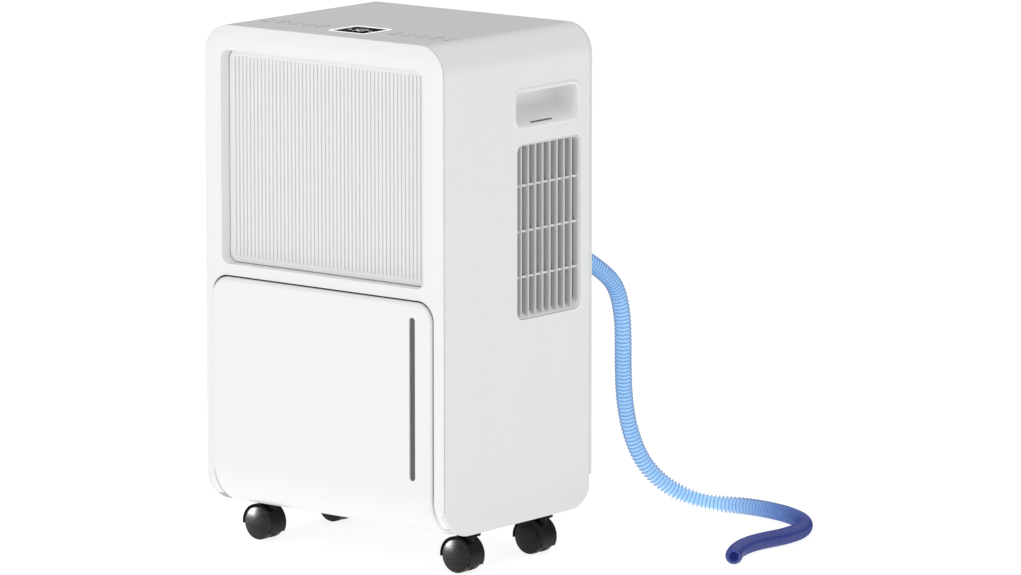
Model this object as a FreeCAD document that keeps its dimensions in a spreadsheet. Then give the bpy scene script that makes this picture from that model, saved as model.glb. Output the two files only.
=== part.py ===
import FreeCAD, Part
import math
import os
from types import SimpleNamespace

import Sketcher
from FreeCAD import Placement, Rotation, Vector

# A compressor dehumidifier on four casters, in millimetres.
# +Z is up, -Y is the front, +X is the right-hand side as one faces the front,
# and the origin is on the floor under the middle of the cabinet.

SHEET_VALUES = {
    # cabinet
    "body_width": 290.0,
    "body_depth": 225.0,
    "body_height": 462.0,
    "floor_gap": 40.0,
    "top_radius": 28.0,
    "front_curve": 40.0,
    "rear_curve": 30.0,
    "wall": 2.5,
    "seam": 1.0,
    "slide_gap": 0.5,
    # front frame
    "plate": 3.0,
    "frame_reach": 14.0,
    "border_slope": 13.0,
    "border_drop": 2.4,
    "window_margin": 22.0,
    "window_height": 203.5,
    "brow": 23.5,
    "window_corner": 9.0,
    "bridge": 10.8,
    # inlet grille and filter
    "grille_recess": 11.5,
    "grille_thick": 4.0,
    "rib_pitch": 4.6,
    "rib_gap": 2.0,
    "rib_border": 7.0,
    "rib_length": 190.0,
    "filter_thick": 1.5,
    "tie_thick": 1.6,
    # water tank
    "tank_margin": 11.8,
    "tank_gap": 1.5,
    "tank_corner": 18.0,
    "tank_proud": 4.0,
    "tank_plate": 6.0,
    "tank_edge": 4.0,
    "tank_wall": 2.0,
    "tank_inset": 5.5,
    "tank_depth": 96.0,
    "tank_floor": 58.0,
    "tank_headroom": 14.0,
    "slot_width": 6.8,
    "slot_length": 154.0,
    "slot_side": 20.7,
    "slot_drop": 14.0,
    # float
    "pin_radius": 2.0,
    "running_gap": 0.05,
    # handles
    "handle_length": 94.5,
    "handle_height": 32.0,
    "handle_depth": 28.0,
    "handle_rim": 4.0,
    "handle_proud": 1.0,
    "handle_corner": 8.0,
    "handle_rise": 12.0,
    "handle_wall": 1.6,
    "slit_length": 32.0,
    "slit_width": 2.2,
    "handle_set_back": 156.5,
    "handle_set_down": 70.0,
    # side vent
    "vent_length": 96.0,
    "vent_height": 166.0,
    "vent_depth": 9.0,
    "vent_corner": 8.0,
    "vent_wall": 1.4,
    "vent_recess": 0.8,
    "vent_flange": 4.0,
    "vent_set_back": 159.5,
    "vent_set_down": 186.0,
    "slat_count": 8.0,
    "slat_start": 8.3,
    "slat_pitch": 10.8,
    "slat_thick": 2.0,
    "bar_thick": 1.6,
    "bar_spacing": 43.2,
    # display
    "lens_width": 42.0,
    "lens_depth": 41.0,
    "lens_set_back": 53.0,
    "lens_recess": 1.3,
    "lens_corner": 3.0,
    # chassis
    "pan_thick": 3.0,
    "deck_height": 228.0,
    "deck_thick": 2.5,
    "divider_thick": 2.5,
    # air path
    "coil_margin": 29.0,
    "coil_height": 184.0,
    "coil_thick": 24.0,
    "coil_base": 286.0,
    "fin_pitch": 5.8,
    "fin_gap": 3.6,
    "bend_radius": 10.0,
    "tube_radius": 3.5,
    "fan_radius": 74.0,
    "fan_height": 378.0,
    "fan_width": 46.0,
    "fan_start": 4.0,
    "scroll_gap": 14.0,
    "blade_count": 24.0,
    "rim_width": 11.0,
    "hub_length": 24.0,
    "shaft_radius": 4.0,
    "motor_radius": 38.0,
    "motor_length": 40.0,
    # refrigeration
    "compressor_radius": 44.0,
    "compressor_height": 128.0,
    "grommet_height": 15.0,
    "grommet_radius": 8.0,
    "bolt_radius": 3.0,
    # rear panel
    "screw_head": 3.6,
    "screw_shank": 1.7,
    "screw_post": 4.2,
    "head_height": 1.4,
    "louvre_count": 10.0,
    "louvre_pitch": 8.0,
    "louvre_width": 3.0,
    # drain
    "drain_side": 110.0,
    "drain_height": 277.0,
    "drain_radius": 6.0,
    "hose_radius": 8.5,
    "cuff_radius": 10.5,
    "gland_bore": 3.6,
    "gland_length": 14.0,
    # casters
    "wheel_radius": 16.5,
    "wheel_width": 9.5,
    "wheel_spread": 6.0,
    "caster_margin": 23.0,
    "caster_front": 54.5,
    "caster_trail": 8.0,
    "stem_radius": 5.0,
    "axle_radius": 2.0,
    "hood_thick": 1.4,
    "hood_gap": 0.6,
    "hood_drop": 9.0,
    "cap_proud": 2.0,
    "socket_height": 13.0,
}

document = FreeCAD.newDocument("dehumidifier")
sheet = document.addObject("Spreadsheet::Sheet", "sizes")
for row, (alias, number) in enumerate(SHEET_VALUES.items(), start=1):
    sheet.set(f"A{row}", alias)
    sheet.set(f"B{row}", repr(number))
    sheet.setAlias(f"B{row}", alias)
document.recompute()


class Size:
    """A length that knows its value now and the sheet formula that gives it."""

    def __init__(self, value, formula):
        self.value = float(value)
        self.formula = formula

    def __add__(self, other):
        return self.join(other, "+", self.value + amount(other))

    def __radd__(self, other):
        return as_size(other) + self

    def __sub__(self, other):
        return self.join(other, "-", self.value - amount(other))

    def __rsub__(self, other):
        return as_size(other) - self

    def __mul__(self, other):
        return self.join(other, "*", self.value * amount(other))

    def __rmul__(self, other):
        return as_size(other) * self

    def __truediv__(self, other):
        return self.join(other, "/", self.value / amount(other))

    def __neg__(self):
        return Size(-self.value, f"(0 - {self.formula})")

    def join(self, other, sign, value):
        return Size(value, f"({self.formula} {sign} {formula_of(other)})")

    def whole(self):
        """The whole number just below this one, for counts."""
        return Size(math.floor(self.value), f"floor({self.formula})")


def amount(item):
    """The number that a Size or a plain number stands for."""
    return item.value if isinstance(item, Size) else float(item)


def formula_of(item):
    """The sheet formula of a Size, or a plain number written out."""
    return item.formula if isinstance(item, Size) else f"({float(item):.6f})"


def as_size(item):
    return item if isinstance(item, Size) else Size(item, formula_of(item))


def bind(item, target, size):
    """Ties one property to its formula."""
    item.setExpression(target, formula_of(size))


S = SimpleNamespace(**{alias: Size(value, f"sizes.{alias}") for alias, value in SHEET_VALUES.items()})

# Planes of the cabinet that most pieces refer to.
HALF_WIDTH = S.body_width / 2
FRONT = -S.body_depth / 2
REAR = S.body_depth / 2
BOTTOM = S.floor_gap
TOP = S.floor_gap + S.body_height
SHELL_FRONT = FRONT + S.plate + S.seam
SHELL_REAR = REAR - S.plate - S.slide_gap
INNER_SIDE = HALF_WIDTH - S.wall - S.slide_gap
WINDOW_TOP = TOP - S.brow
WINDOW_LOW = WINDOW_TOP - S.window_height
BAY_TOP = WINDOW_LOW - S.bridge
WINDOW_HALF = HALF_WIDTH - S.window_margin
TANK_HALF = HALF_WIDTH - S.tank_margin
BAY_SIDE = TANK_HALF + S.tank_gap
COIL_HALF = HALF_WIDTH - S.coil_margin
CASTER_SIDE = HALF_WIDTH - S.caster_margin
DECK_LOW = BOTTOM + S.deck_height
DECK_TOP = DECK_LOW + S.deck_thick
PAN_TOP = BOTTOM + S.pan_thick
FRAME_BACK = FRONT + S.frame_reach
TANK_FACE = FRONT - S.tank_proud
TANK_TOP = BAY_TOP - S.tank_gap
TANK_CURVE = S.front_curve + S.tank_proud
BOX_FRONT = TANK_FACE + S.tank_plate + 0.1
BOX_BACK = BOX_FRONT + S.tank_depth
BOX_SIDE = TANK_HALF - S.tank_inset
LID_THICK = 2.0
LIP_DROP = 4.0
BOX_TOP = DECK_LOW - S.tank_headroom - LIP_DROP
LID_TOP = BOX_TOP + LID_THICK
LIP_SIDE = BOX_SIDE - S.tank_wall - S.slide_gap
PIN_Y = BOX_BACK - 20
PIN_Z = BOX_TOP - 16
DIVIDER_Y = BOX_BACK + 4
DRIP_Y = FRONT + 45
FAN_BACK = S.fan_start + S.fan_width
HANDLE_Y = FRONT + S.handle_set_back
HANDLE_Z = TOP - S.handle_set_down
VENT_Y = FRONT + S.vent_set_back
VENT_Z = TOP - S.vent_set_down
LENS_Y = FRONT + S.lens_set_back
LENS_X = 4.0
GRILLE_FRONT = FRONT + S.grille_recess
GRILLE_BACK = GRILLE_FRONT + S.grille_thick
SLOT_X = TANK_HALF - S.slot_side
SLOT_HIGH = TANK_TOP - S.slot_drop
SLOT_LOW = SLOT_HIGH - S.slot_length
SPIGOT_TIP = REAR + S.tank_proud
CUFF_END = REAR + 14
COIL_GAP = 5.0
COIL_FRONT = FRONT + 24
COIL_END = COIL_FRONT + 2 * S.coil_thick + COIL_GAP
GLAND_BODY = S.gland_bore + 2.4
GLAND_X = 40 - HALF_WIDTH
GLAND_Z = BOTTOM + S.rear_curve + 25
VENT_HALF_Y = S.vent_length / 2
VENT_HALF_Z = S.vent_height / 2
VENT_INNER_Y = VENT_HALF_Y - S.vent_wall
VENT_INNER_Z = VENT_HALF_Z - S.vent_wall
VENT_TOP = VENT_Z + VENT_HALF_Z - 2 * S.vent_wall

NODES = {}
CUTS = []


def finish(item, label):
    """Gives a sub-part its name and keeps it for the files."""
    item.Label = label
    NODES[label] = item
    return item


# ---------------------------------------------------------------- sketches and features

def new_body(name):
    return document.addObject("PartDesign::Body", name + "_body")


def base_plane(body, role):
    """One of a body's own origin planes."""
    return next(part for part in body.Origin.OriginFeatures if part.Role == role)


def new_sketch(body, name, role, offset):
    """A sketch on an origin plane, moved along that plane's normal by offset."""
    sketch = body.newObject("Sketcher::SketchObject", name)
    sketch.AttachmentSupport = [(base_plane(body, role), "")]
    sketch.MapMode = "FlatFace"
    bind(sketch, ".AttachmentOffset.Base.z", offset)
    return sketch


def towards(corner, other):
    """Steps of -1, 0 or 1 that lead from a corner along an upright or level edge."""
    steps = []
    for here, there in zip(corner[:2], other[:2]):
        gap = amount(there) - amount(here)
        steps.append(0 if abs(gap) < 1e-6 else math.copysign(1, gap))
    return steps


def pin_point(sketch, edge, end, point):
    """Fixes a point of the sketch at its two coordinates, tied to the sheet."""
    for kind, size in zip(("DistanceX", "DistanceY"), point):
        index = sketch.addConstraint(Sketcher.Constraint(kind, edge, end, amount(size)))
        if isinstance(size, Size):
            label = f"{kind.lower()}_{index}"
            sketch.renameConstraint(index, label)
            bind(sketch, f"Constraints.{label}", size)


def draw_outline(sketch, corners):
    """Draws one closed outline; a corner with a third value is rounded by that radius."""
    stops = []
    for index, corner in enumerate(corners):
        if len(corner) == 2:
            stops.append([corner])
            continue
        x, y, radius = corner
        before = towards(corner, corners[index - 1])
        after = towards(corner, corners[(index + 1) % len(corners)])
        start = tuple(c + radius * step if step else c for c, step in zip((x, y), before))
        end = tuple(c + radius * step if step else c for c, step in zip((x, y), after))
        stops.append([start, end, radius, before, after])
    joints = []
    for index, stop in enumerate(stops):
        if len(stop) > 1:
            joints.append(add_arc(sketch, stop))
        following = stops[(index + 1) % len(stops)][0]
        leaving = stop[1] if len(stop) > 1 else stop[0]
        ends = [Vector(amount(p[0]), amount(p[1]), 0) for p in (leaving, following)]
        edge = sketch.addGeometry(Part.LineSegment(*ends), False)
        joints.append((edge, 1, edge, 2))
        pin_point(sketch, edge, 1, leaving)
    for index, joint in enumerate(joints):
        onward = joints[(index + 1) % len(joints)]
        sketch.addConstraint(Sketcher.Constraint("Coincident", joint[2], joint[3], onward[0], onward[1]))


def add_arc(sketch, stop):
    """Adds the arc of a rounded corner and returns its first and last point."""
    start, end, radius, before, after = stop
    size = amount(radius)
    first = Vector(amount(start[0]), amount(start[1]), 0)
    last = Vector(amount(end[0]), amount(end[1]), 0)
    centre = first + Vector(after[0], after[1], 0) * size
    diagonal = Vector(before[0] + after[0], before[1] + after[1], 0)
    middle = centre - diagonal * size * math.sqrt(0.5)
    edge = sketch.addGeometry(Part.Arc(first, middle, last), False)
    forward = sketch.getPoint(edge, 1).distanceToPoint(first) < 1e-6
    head, tail = (1, 2) if forward else (2, 1)
    pin_point(sketch, edge, head, start)
    index = sketch.addConstraint(Sketcher.Constraint("Radius", edge, size))
    if isinstance(radius, Size):
        label = f"radius_{index}"
        sketch.renameConstraint(index, label)
        bind(sketch, f"Constraints.{label}", radius)
    return edge, head, edge, tail


def draw_circle(sketch, x, y, radius):
    centre = Vector(amount(x), amount(y), 0)
    edge = sketch.addGeometry(Part.Circle(centre, Vector(0, 0, 1), amount(radius)), False)
    pin_point(sketch, edge, 3, (x, y))
    index = sketch.addConstraint(Sketcher.Constraint("Radius", edge, amount(radius)))
    label = f"radius_{index}"
    sketch.renameConstraint(index, label)
    bind(sketch, f"Constraints.{label}", as_size(radius))


def rectangle(left, right, low, high, radius=None):
    """The four corners of a rectangle, rounded where a radius is given."""
    spots = [(left, low), (right, low), (right, high), (left, high)]
    return [spot if radius is None else (*spot, radius) for spot in spots]


def pad(body, name, sketch, length, symmetric=False, backward=False):
    feature = body.newObject("PartDesign::Pad", name)
    feature.Profile = sketch
    feature.SideType = "Symmetric" if symmetric else "One side"
    feature.Reversed = backward
    bind(feature, "Length", length)
    body.Tip = feature
    return feature


def pocket(body, name, sketch, length, symmetric=False, backward=False):
    """Cuts a sketch out of the body, and notes the cut so that its volume is compared later."""
    before = body.Tip
    feature = body.newObject("PartDesign::Pocket", name)
    feature.Profile = sketch
    feature.Type = "Length"
    feature.SideType = "Symmetric" if symmetric else "One side"
    feature.Reversed = backward
    bind(feature, "Length", length)
    body.Tip = feature
    CUTS.append((before, feature))
    return feature


def pattern(body, name, feature, role, length, count):
    """Repeats a feature along a direction of the body's origin."""
    row = body.newObject("PartDesign::LinearPattern", name)
    row.Originals = [feature]
    row.Direction = (base_plane(body, role), [""])
    bind(row, "Length", length)
    bind(row, "Occurrences", count)
    body.Tip = row
    return row


def edges_where(feature, test):
    """Names of a feature's edges that pass a test."""
    return [f"Edge{i}" for i, edge in enumerate(feature.Shape.Edges, start=1) if test(edge)]


def fillet(body, name, radius, test):
    """Rounds the edges of the body's tip that pass a test."""
    document.recompute()
    base = body.Tip
    feature = body.newObject("PartDesign::Fillet", name)
    feature.Base = (base, edges_where(base, test))
    bind(feature, "Radius", radius)
    body.Tip = feature
    return feature


def cut_lower_front(body, name):
    """Takes off what lies outside the cabinet's rounded lower front edge."""
    sketch = new_sketch(body, name + "_front_sketch", "YZ_Plane", 0)
    low = BOTTOM - 3 * S.border_slope
    high = BOTTOM + S.front_curve + 1
    draw_outline(sketch, [
        (FRONT - 5, low), (FRONT + S.front_curve + 1, low), (FRONT + S.front_curve + 1, BOTTOM),
        (FRONT, BOTTOM, S.front_curve), (FRONT, high), (FRONT - 5, high),
    ])
    pocket(body, name + "_front_round", sketch, S.body_width + 10, symmetric=True)


def cut_lower_rear(body, name):
    """Takes off what lies outside the cabinet's rounded lower rear edge."""
    sketch = new_sketch(body, name + "_rear_sketch", "YZ_Plane", 0)
    low = BOTTOM - 5
    high = BOTTOM + S.rear_curve + 1
    draw_outline(sketch, [
        (REAR + 5, low), (REAR - S.rear_curve - 1, low), (REAR - S.rear_curve - 1, BOTTOM),
        (REAR, BOTTOM, S.rear_curve), (REAR, high), (REAR + 5, high),
    ])
    pocket(body, name + "_rear_round", sketch, S.body_width + 10, symmetric=True)


# ---------------------------------------------------------------- primitives

def box(name, x, y, z):
    """A block between pairs of coordinates."""
    item = document.addObject("Part::Box", name)
    for target, (low, high) in zip(("Length", "Width", "Height"), (x, y, z)):
        bind(item, target, as_size(high) - low)
    for axis, (low, high) in zip("xyz", (x, y, z)):
        bind(item, f"Placement.Base.{axis}", low)
    return item


TURNS = {
    "X": Rotation(Vector(0, 1, 0), 90),
    "Y": Rotation(Vector(1, 0, 0), -90),
    "Z": Rotation(),
}


def place(item, axis, start):
    item.Placement = Placement(Vector(), TURNS[axis])
    for letter, size in zip("xyz", start):
        bind(item, f"Placement.Base.{letter}", size)
    return item


def rod(name, axis, radius, start, length):
    """A cylinder that runs from start along +X, +Y or +Z."""
    item = document.addObject("Part::Cylinder", name)
    bind(item, "Radius", radius)
    bind(item, "Height", length)
    return place(item, axis, start)


def cone(name, axis, radius, end_radius, start, length):
    item = document.addObject("Part::Cone", name)
    bind(item, "Radius1", radius)
    bind(item, "Radius2", end_radius)
    bind(item, "Height", length)
    return place(item, axis, start)


def half_ring(name, bend, tube, centre, turn):
    """Half a torus: a return bend of a coil."""
    item = document.addObject("Part::Torus", name)
    bind(item, "Radius1", bend)
    bind(item, "Radius2", tube)
    item.Angle3 = 180
    item.Placement = Placement(Vector(), turn)
    for letter, size in zip("xyz", centre):
        bind(item, f"Placement.Base.{letter}", size)
    return item


def fuse(name, items):
    item = document.addObject("Part::MultiFuse", name)
    item.Shapes = items
    return item


def cut(name, base, tools):
    item = document.addObject("Part::Cut", name)
    item.Base = base
    item.Tool = tools[0] if len(tools) == 1 else fuse(name + "_tools", tools)
    return item


def group(name, items):
    """Separate solids that share one node."""
    item = document.addObject("Part::Compound", name)
    item.Links = items
    return item


# ---------------------------------------------------------------- cabinet

def screw_spots():
    """Where the rear panel's screws go, as pairs of X and Z."""
    side = HALF_WIDTH - S.wall - S.screw_head
    heights = (BOTTOM + S.rear_curve + 12, VENT_Z - VENT_HALF_Z - 40, TOP - S.top_radius - 10)
    return [(sign * side, height) for sign in (-1, 1) for height in heights]


def make_cabinet_shell():
    """Left wall, top and right wall in one wrap, with posts for the rear panel's screws."""
    body = new_body("cabinet_shell")
    outline = new_sketch(body, "shell_outline", "XZ_Plane", -SHELL_REAR)
    inner = HALF_WIDTH - S.wall
    draw_outline(outline, [
        (-HALF_WIDTH, BOTTOM), (-HALF_WIDTH, TOP, S.top_radius), (HALF_WIDTH, TOP, S.top_radius),
        (HALF_WIDTH, BOTTOM), (inner, BOTTOM), (inner, TOP - S.wall, S.top_radius - S.wall),
        (-inner, TOP - S.wall, S.top_radius - S.wall), (-inner, BOTTOM),
    ])
    pad(body, "shell_wrap", outline, SHELL_REAR - SHELL_FRONT)

    posts = new_sketch(body, "shell_post_spots", "XZ_Plane", -SHELL_REAR)
    bores = new_sketch(body, "shell_bore_spots", "XZ_Plane", -SHELL_REAR)
    for x, z in screw_spots():
        draw_circle(posts, x, z, S.screw_post)
        draw_circle(bores, x, z, S.screw_shank + S.running_gap)
    pad(body, "shell_posts", posts, 14)
    pocket(body, "shell_bores", bores, 10, backward=True)
    cut_lower_front(body, "shell")
    cut_lower_rear(body, "shell")

    reach = S.handle_length / 2 + S.handle_wall + S.slide_gap / 2
    rise = S.handle_height / 2 + S.handle_wall + S.slide_gap / 2
    holds = new_sketch(body, "handle_openings", "YZ_Plane", 0)
    draw_outline(holds, rectangle(HANDLE_Y - reach, HANDLE_Y + reach, HANDLE_Z - rise, HANDLE_Z + rise,
                                  S.handle_corner + S.handle_wall + S.slide_gap / 2))
    pocket(body, "handle_cuts", holds, S.body_width + 10, symmetric=True)

    outlet = new_sketch(body, "vent_opening", "YZ_Plane", HALF_WIDTH + 1)
    draw_outline(outlet, vent_outline(0, S.vent_corner))
    pocket(body, "vent_cut", outlet, S.wall + 2)

    seat = new_sketch(body, "lens_seat", "XY_Plane", TOP + 1)
    draw_outline(seat, lens_outline(0.2))
    pocket(body, "lens_recess_cut", seat, S.lens_recess + 1)
    finish(body, "cabinet_shell")


def vent_outline(inset, radius):
    """The outline of the air outlet on the right wall, drawn smaller all round by inset."""
    half_y = VENT_HALF_Y - inset
    half_z = VENT_HALF_Z - inset
    return rectangle(VENT_Y - half_y, VENT_Y + half_y, VENT_Z - half_z, VENT_Z + half_z, radius)


def lens_outline(gap):
    """The outline of the display glass on the top, drawn larger all round by gap."""
    across = S.lens_width / 2 + gap
    along = S.lens_depth / 2 + gap
    return rectangle(LENS_X - across, LENS_X + across, LENS_Y - along, LENS_Y + along, S.lens_corner + gap)


def arch_outline(side, high, radius):
    """An outline open to the floor: upright sides and a level top with rounded corners."""
    low = BOTTOM - 2 * S.border_slope
    return [(-side, low), (-side, high, radius), (side, high, radius), (side, low)]


def make_front_frame():
    """The bezel: a sloping face plate with the window and the tank bay, and a collar behind it."""
    body = new_body("front_frame")
    face = new_sketch(body, "face_outline", "XZ_Plane", -(FRONT + S.plate))
    draw_outline(face, arch_outline(HALF_WIDTH, TOP, S.top_radius))
    pad(body, "face_plate", face, S.plate - S.border_drop)
    slope = new_sketch(body, "slope_outline", "XZ_Plane", -(FRONT + S.border_drop))
    draw_outline(slope, arch_outline(HALF_WIDTH, TOP, S.top_radius))
    sloping = pad(body, "sloping_border", slope, S.border_drop)
    sloping.setExpression("TaperAngle", "-atan(sizes.border_slope / sizes.border_drop)")

    inset = S.wall + S.slide_gap
    collar = new_sketch(body, "collar_outline", "XZ_Plane", -FRAME_BACK)
    draw_outline(collar, arch_outline(HALF_WIDTH - inset, TOP - inset, S.top_radius - inset))
    pad(body, "collar", collar, S.frame_reach - S.plate)

    window = new_sketch(body, "window_outline", "XZ_Plane", -FRAME_BACK)
    draw_outline(window, rectangle(-WINDOW_HALF, WINDOW_HALF, WINDOW_LOW, WINDOW_TOP, S.window_corner))
    low = BOTTOM - 3 * S.border_slope
    draw_outline(window, [
        (-BAY_SIDE, low), (BAY_SIDE, low),
        (BAY_SIDE, BAY_TOP, S.tank_corner), (-BAY_SIDE, BAY_TOP, S.tank_corner),
    ])
    pocket(body, "window_cut", window, S.frame_reach + 1, backward=True)

    hollow = new_sketch(body, "hollow_outline", "XZ_Plane", -FRAME_BACK)
    outer = HALF_WIDTH - inset - S.wall
    inner = WINDOW_HALF + S.wall
    for left, right in ((inner, outer), (-outer, -inner)):
        draw_outline(hollow, rectangle(left, right, WINDOW_LOW, WINDOW_TOP - 6))
    draw_outline(hollow, rectangle(-WINDOW_HALF, WINDOW_HALF, WINDOW_TOP + S.wall, TOP - inset - S.wall))
    pocket(body, "hollow_cut", hollow, S.frame_reach - S.plate, backward=True)
    cut_lower_front(body, "frame")
    finish(body, "front_frame")


def make_rear_panel():
    """The flat back, with holes for the drain spigot, the mains lead and the screws, and louvres."""
    body = new_body("rear_panel")
    low = BOTTOM + S.rear_curve + 0.4
    outline = new_sketch(body, "rear_outline", "XZ_Plane", -REAR)
    draw_outline(outline, [
        (-HALF_WIDTH, low), (-HALF_WIDTH, TOP, S.top_radius),
        (HALF_WIDTH, TOP, S.top_radius), (HALF_WIDTH, low),
    ])
    pad(body, "rear_plate", outline, S.plate)

    holes = new_sketch(body, "rear_holes", "XZ_Plane", -REAR)
    heads = new_sketch(body, "head_recesses", "XZ_Plane", -REAR)
    draw_circle(holes, S.drain_side, S.drain_height, S.drain_radius + 0.2)
    draw_circle(holes, GLAND_X, GLAND_Z, GLAND_BODY + 0.1)
    for x, z in screw_spots():
        draw_circle(holes, x, z, S.screw_shank + 0.3)
        draw_circle(heads, x, z, S.screw_head + 0.2)
    pocket(body, "rear_holes_cut", holes, S.plate + 1, backward=True)
    pocket(body, "head_recess_cut", heads, S.head_height + 0.2, backward=True)

    louvre = new_sketch(body, "louvre_outline", "XZ_Plane", -REAR)
    lowest = BOTTOM + S.rear_curve + 40
    draw_outline(louvre, rectangle(-60, 60, lowest, lowest + S.louvre_width, S.louvre_width / 2 - 0.1))
    first = pocket(body, "louvre_cut", louvre, S.plate + 1, backward=True)
    pattern(body, "louvres", first, "Z_Axis", S.louvre_pitch * (S.louvre_count - 1), S.louvre_count)
    finish(body, "rear_panel")


CASTERS = {
    "front_left": (-1, -1),
    "front_right": (1, -1),
    "rear_left": (-1, 1),
    "rear_right": (1, 1),
}


def stem_spots():
    """Where the four caster stems stand, as X and Y."""
    return [(x * CASTER_SIDE + S.caster_trail, y * S.caster_front) for x, y in CASTERS.values()]


def make_base_pan():
    """The floor of the cabinet, turned up at the rear, with four sockets for the caster stems."""
    body = new_body("base_pan")
    start = TANK_FACE + TANK_CURVE + 2
    lip = BOTTOM + S.rear_curve + 0.2
    profile = new_sketch(body, "pan_profile", "YZ_Plane", 0)
    draw_outline(profile, [
        (start, BOTTOM), (REAR, BOTTOM, S.rear_curve), (REAR, lip), (REAR - S.pan_thick, lip),
        (REAR - S.pan_thick, PAN_TOP, S.rear_curve - S.pan_thick), (start, PAN_TOP),
    ])
    pad(body, "pan_plate", profile, 2 * INNER_SIDE, symmetric=True)

    sockets = new_sketch(body, "socket_spots", "XY_Plane", BOTTOM)
    bores = new_sketch(body, "socket_bores", "XY_Plane", BOTTOM)
    for x, y in stem_spots():
        draw_circle(sockets, x, y, S.stem_radius + 4)
        draw_circle(bores, x, y, S.stem_radius + S.running_gap)
    pad(body, "sockets", sockets, S.socket_height + S.pan_thick)
    pocket(body, "socket_bore_cut", bores, S.socket_height, backward=True)
    finish(body, "base_pan")


def make_chassis():
    """The wall behind the tank and the deck above it."""
    divider = box("divider_plate", (-INNER_SIDE, INNER_SIDE), (DIVIDER_Y, DIVIDER_Y + S.divider_thick),
                  (PAN_TOP, DECK_LOW))
    finish(divider, "bay_divider")

    through = (DECK_LOW - 1, DECK_TOP + 1)
    vent_reach = VENT_HALF_Y + S.vent_flange + 1
    plate = box("deck_plate", (-INNER_SIDE, INNER_SIDE), (FRAME_BACK + 0.5, SHELL_REAR - 15),
                (DECK_LOW, DECK_TOP))
    drip = box("deck_drip", (-20, 20), (DRIP_Y - 12, DRIP_Y + 12), through)
    pipes = box("deck_pipe_gap", (-INNER_SIDE - 1, -108), (40, 80), through)
    duct = box("deck_vent_gap", (HALF_WIDTH - S.vent_depth - 1, HALF_WIDTH),
               (VENT_Y - vent_reach, VENT_Y + vent_reach), through)
    finish(cut("deck", plate, [drip, pipes, duct]), "mid_deck")


# ---------------------------------------------------------------- inlet

def make_inlet_grille():
    """A panel of upright ribs with slots between them, tied across at the back."""
    body = new_body("inlet_grille")
    side = WINDOW_HALF - S.slide_gap
    low = WINDOW_LOW + S.slide_gap
    high = WINDOW_TOP - S.slide_gap
    panel = new_sketch(body, "panel_outline", "XZ_Plane", -GRILLE_BACK)
    draw_outline(panel, rectangle(-side, side, low, high, S.window_corner - 0.2))
    pad(body, "panel", panel, S.grille_thick)

    count = ((side - S.rib_border) * 2 / S.rib_pitch).whole() + 1
    run = S.rib_pitch * (count - 1)
    middle = (WINDOW_LOW + WINDOW_TOP) / 2
    left = -run / 2 - S.rib_gap / 2
    slot = new_sketch(body, "slot_outline", "XZ_Plane", -GRILLE_BACK)
    half = S.rib_length / 2
    draw_outline(slot, rectangle(left, left + S.rib_gap, middle - half, middle + half))
    first = pocket(body, "slot_cut", slot, S.grille_thick + 1, backward=True)
    pattern(body, "slots", first, "X_Axis", run, count)

    ties = new_sketch(body, "tie_outlines", "XZ_Plane", -(GRILLE_BACK + S.tie_thick - 0.1))
    for step in (-1, 0, 1):
        height = middle + step * S.rib_length / 3
        draw_outline(ties, rectangle(-side + 4, side - 4, height - 1.5, height + 1.5))
    pad(body, "ties", ties, S.tie_thick)
    finish(body, "inlet_grille")

    start = GRILLE_BACK + S.tie_thick
    mesh = box("filter_sheet", (3 - side, side - 3), (start, start + S.filter_thick), (low + 3, high - 3))
    finish(mesh, "air_filter")


# ---------------------------------------------------------------- water tank

def make_tank_front():
    """The rounded face of the tank, which curves back under the cabinet."""
    body = new_body("tank_front")
    end = TANK_FACE + TANK_CURVE + 1
    inner_face = TANK_FACE + S.tank_plate
    profile = new_sketch(body, "face_profile", "YZ_Plane", 0)
    draw_outline(profile, [
        (TANK_FACE, TANK_TOP), (TANK_FACE, BOTTOM, TANK_CURVE), (end, BOTTOM), (end, BOTTOM + S.tank_plate),
        (inner_face, BOTTOM + S.tank_plate, TANK_CURVE - S.tank_plate), (inner_face, TANK_TOP),
    ])
    pad(body, "face_sheet", profile, 2 * TANK_HALF, symmetric=True)
    fillet(body, "top_corners", S.tank_corner, is_tank_top_corner)
    fillet(body, "soft_rim", S.tank_edge, is_tank_outer_rim)

    relief = new_sketch(body, "relief_outline", "XZ_Plane", -inner_face)
    relief_low = BOTTOM + TANK_CURVE + 6
    draw_outline(relief, rectangle(12 - TANK_HALF, TANK_HALF - 12, relief_low, TANK_TOP - 14, 10))
    pocket(body, "relief_cut", relief, S.tank_plate / 2, backward=True)
    slot = new_sketch(body, "level_slot", "XZ_Plane", -inner_face)
    draw_outline(slot, slot_outline(0))
    pocket(body, "level_slot_cut", slot, S.tank_plate + 1, backward=True)
    finish(body, "tank_front")


def is_tank_top_corner(edge):
    """Whether an edge is one of the two short upper corners of the tank's face sheet."""
    centre = edge.CenterOfMass
    bounds = edge.BoundBox
    along_y = bounds.YLength > 1 and bounds.XLength < 1e-4 and bounds.ZLength < 1e-4
    at_top = abs(centre.z - amount(TANK_TOP)) < 1e-4
    return along_y and at_top and abs(abs(centre.x) - amount(TANK_HALF)) < 1e-4


def is_tank_outer_rim(edge):
    """Whether an edge runs round the outside of the tank's face."""
    middle = edge.valueAt((edge.FirstParameter + edge.LastParameter) / 2)
    curve = amount(TANK_CURVE)
    centre_y = amount(TANK_FACE) + curve
    centre_z = amount(BOTTOM) + curve
    flat = abs(middle.y - amount(TANK_FACE)) < 1e-3
    reach = math.hypot(middle.y - centre_y, middle.z - centre_z)
    curved = middle.y < centre_y and middle.z < centre_z and abs(reach - curve) < 1e-3
    level = edge.BoundBox.XLength > 100 and abs(middle.z - amount(TANK_TOP)) > 1e-3
    return (flat or curved) and not level


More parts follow.
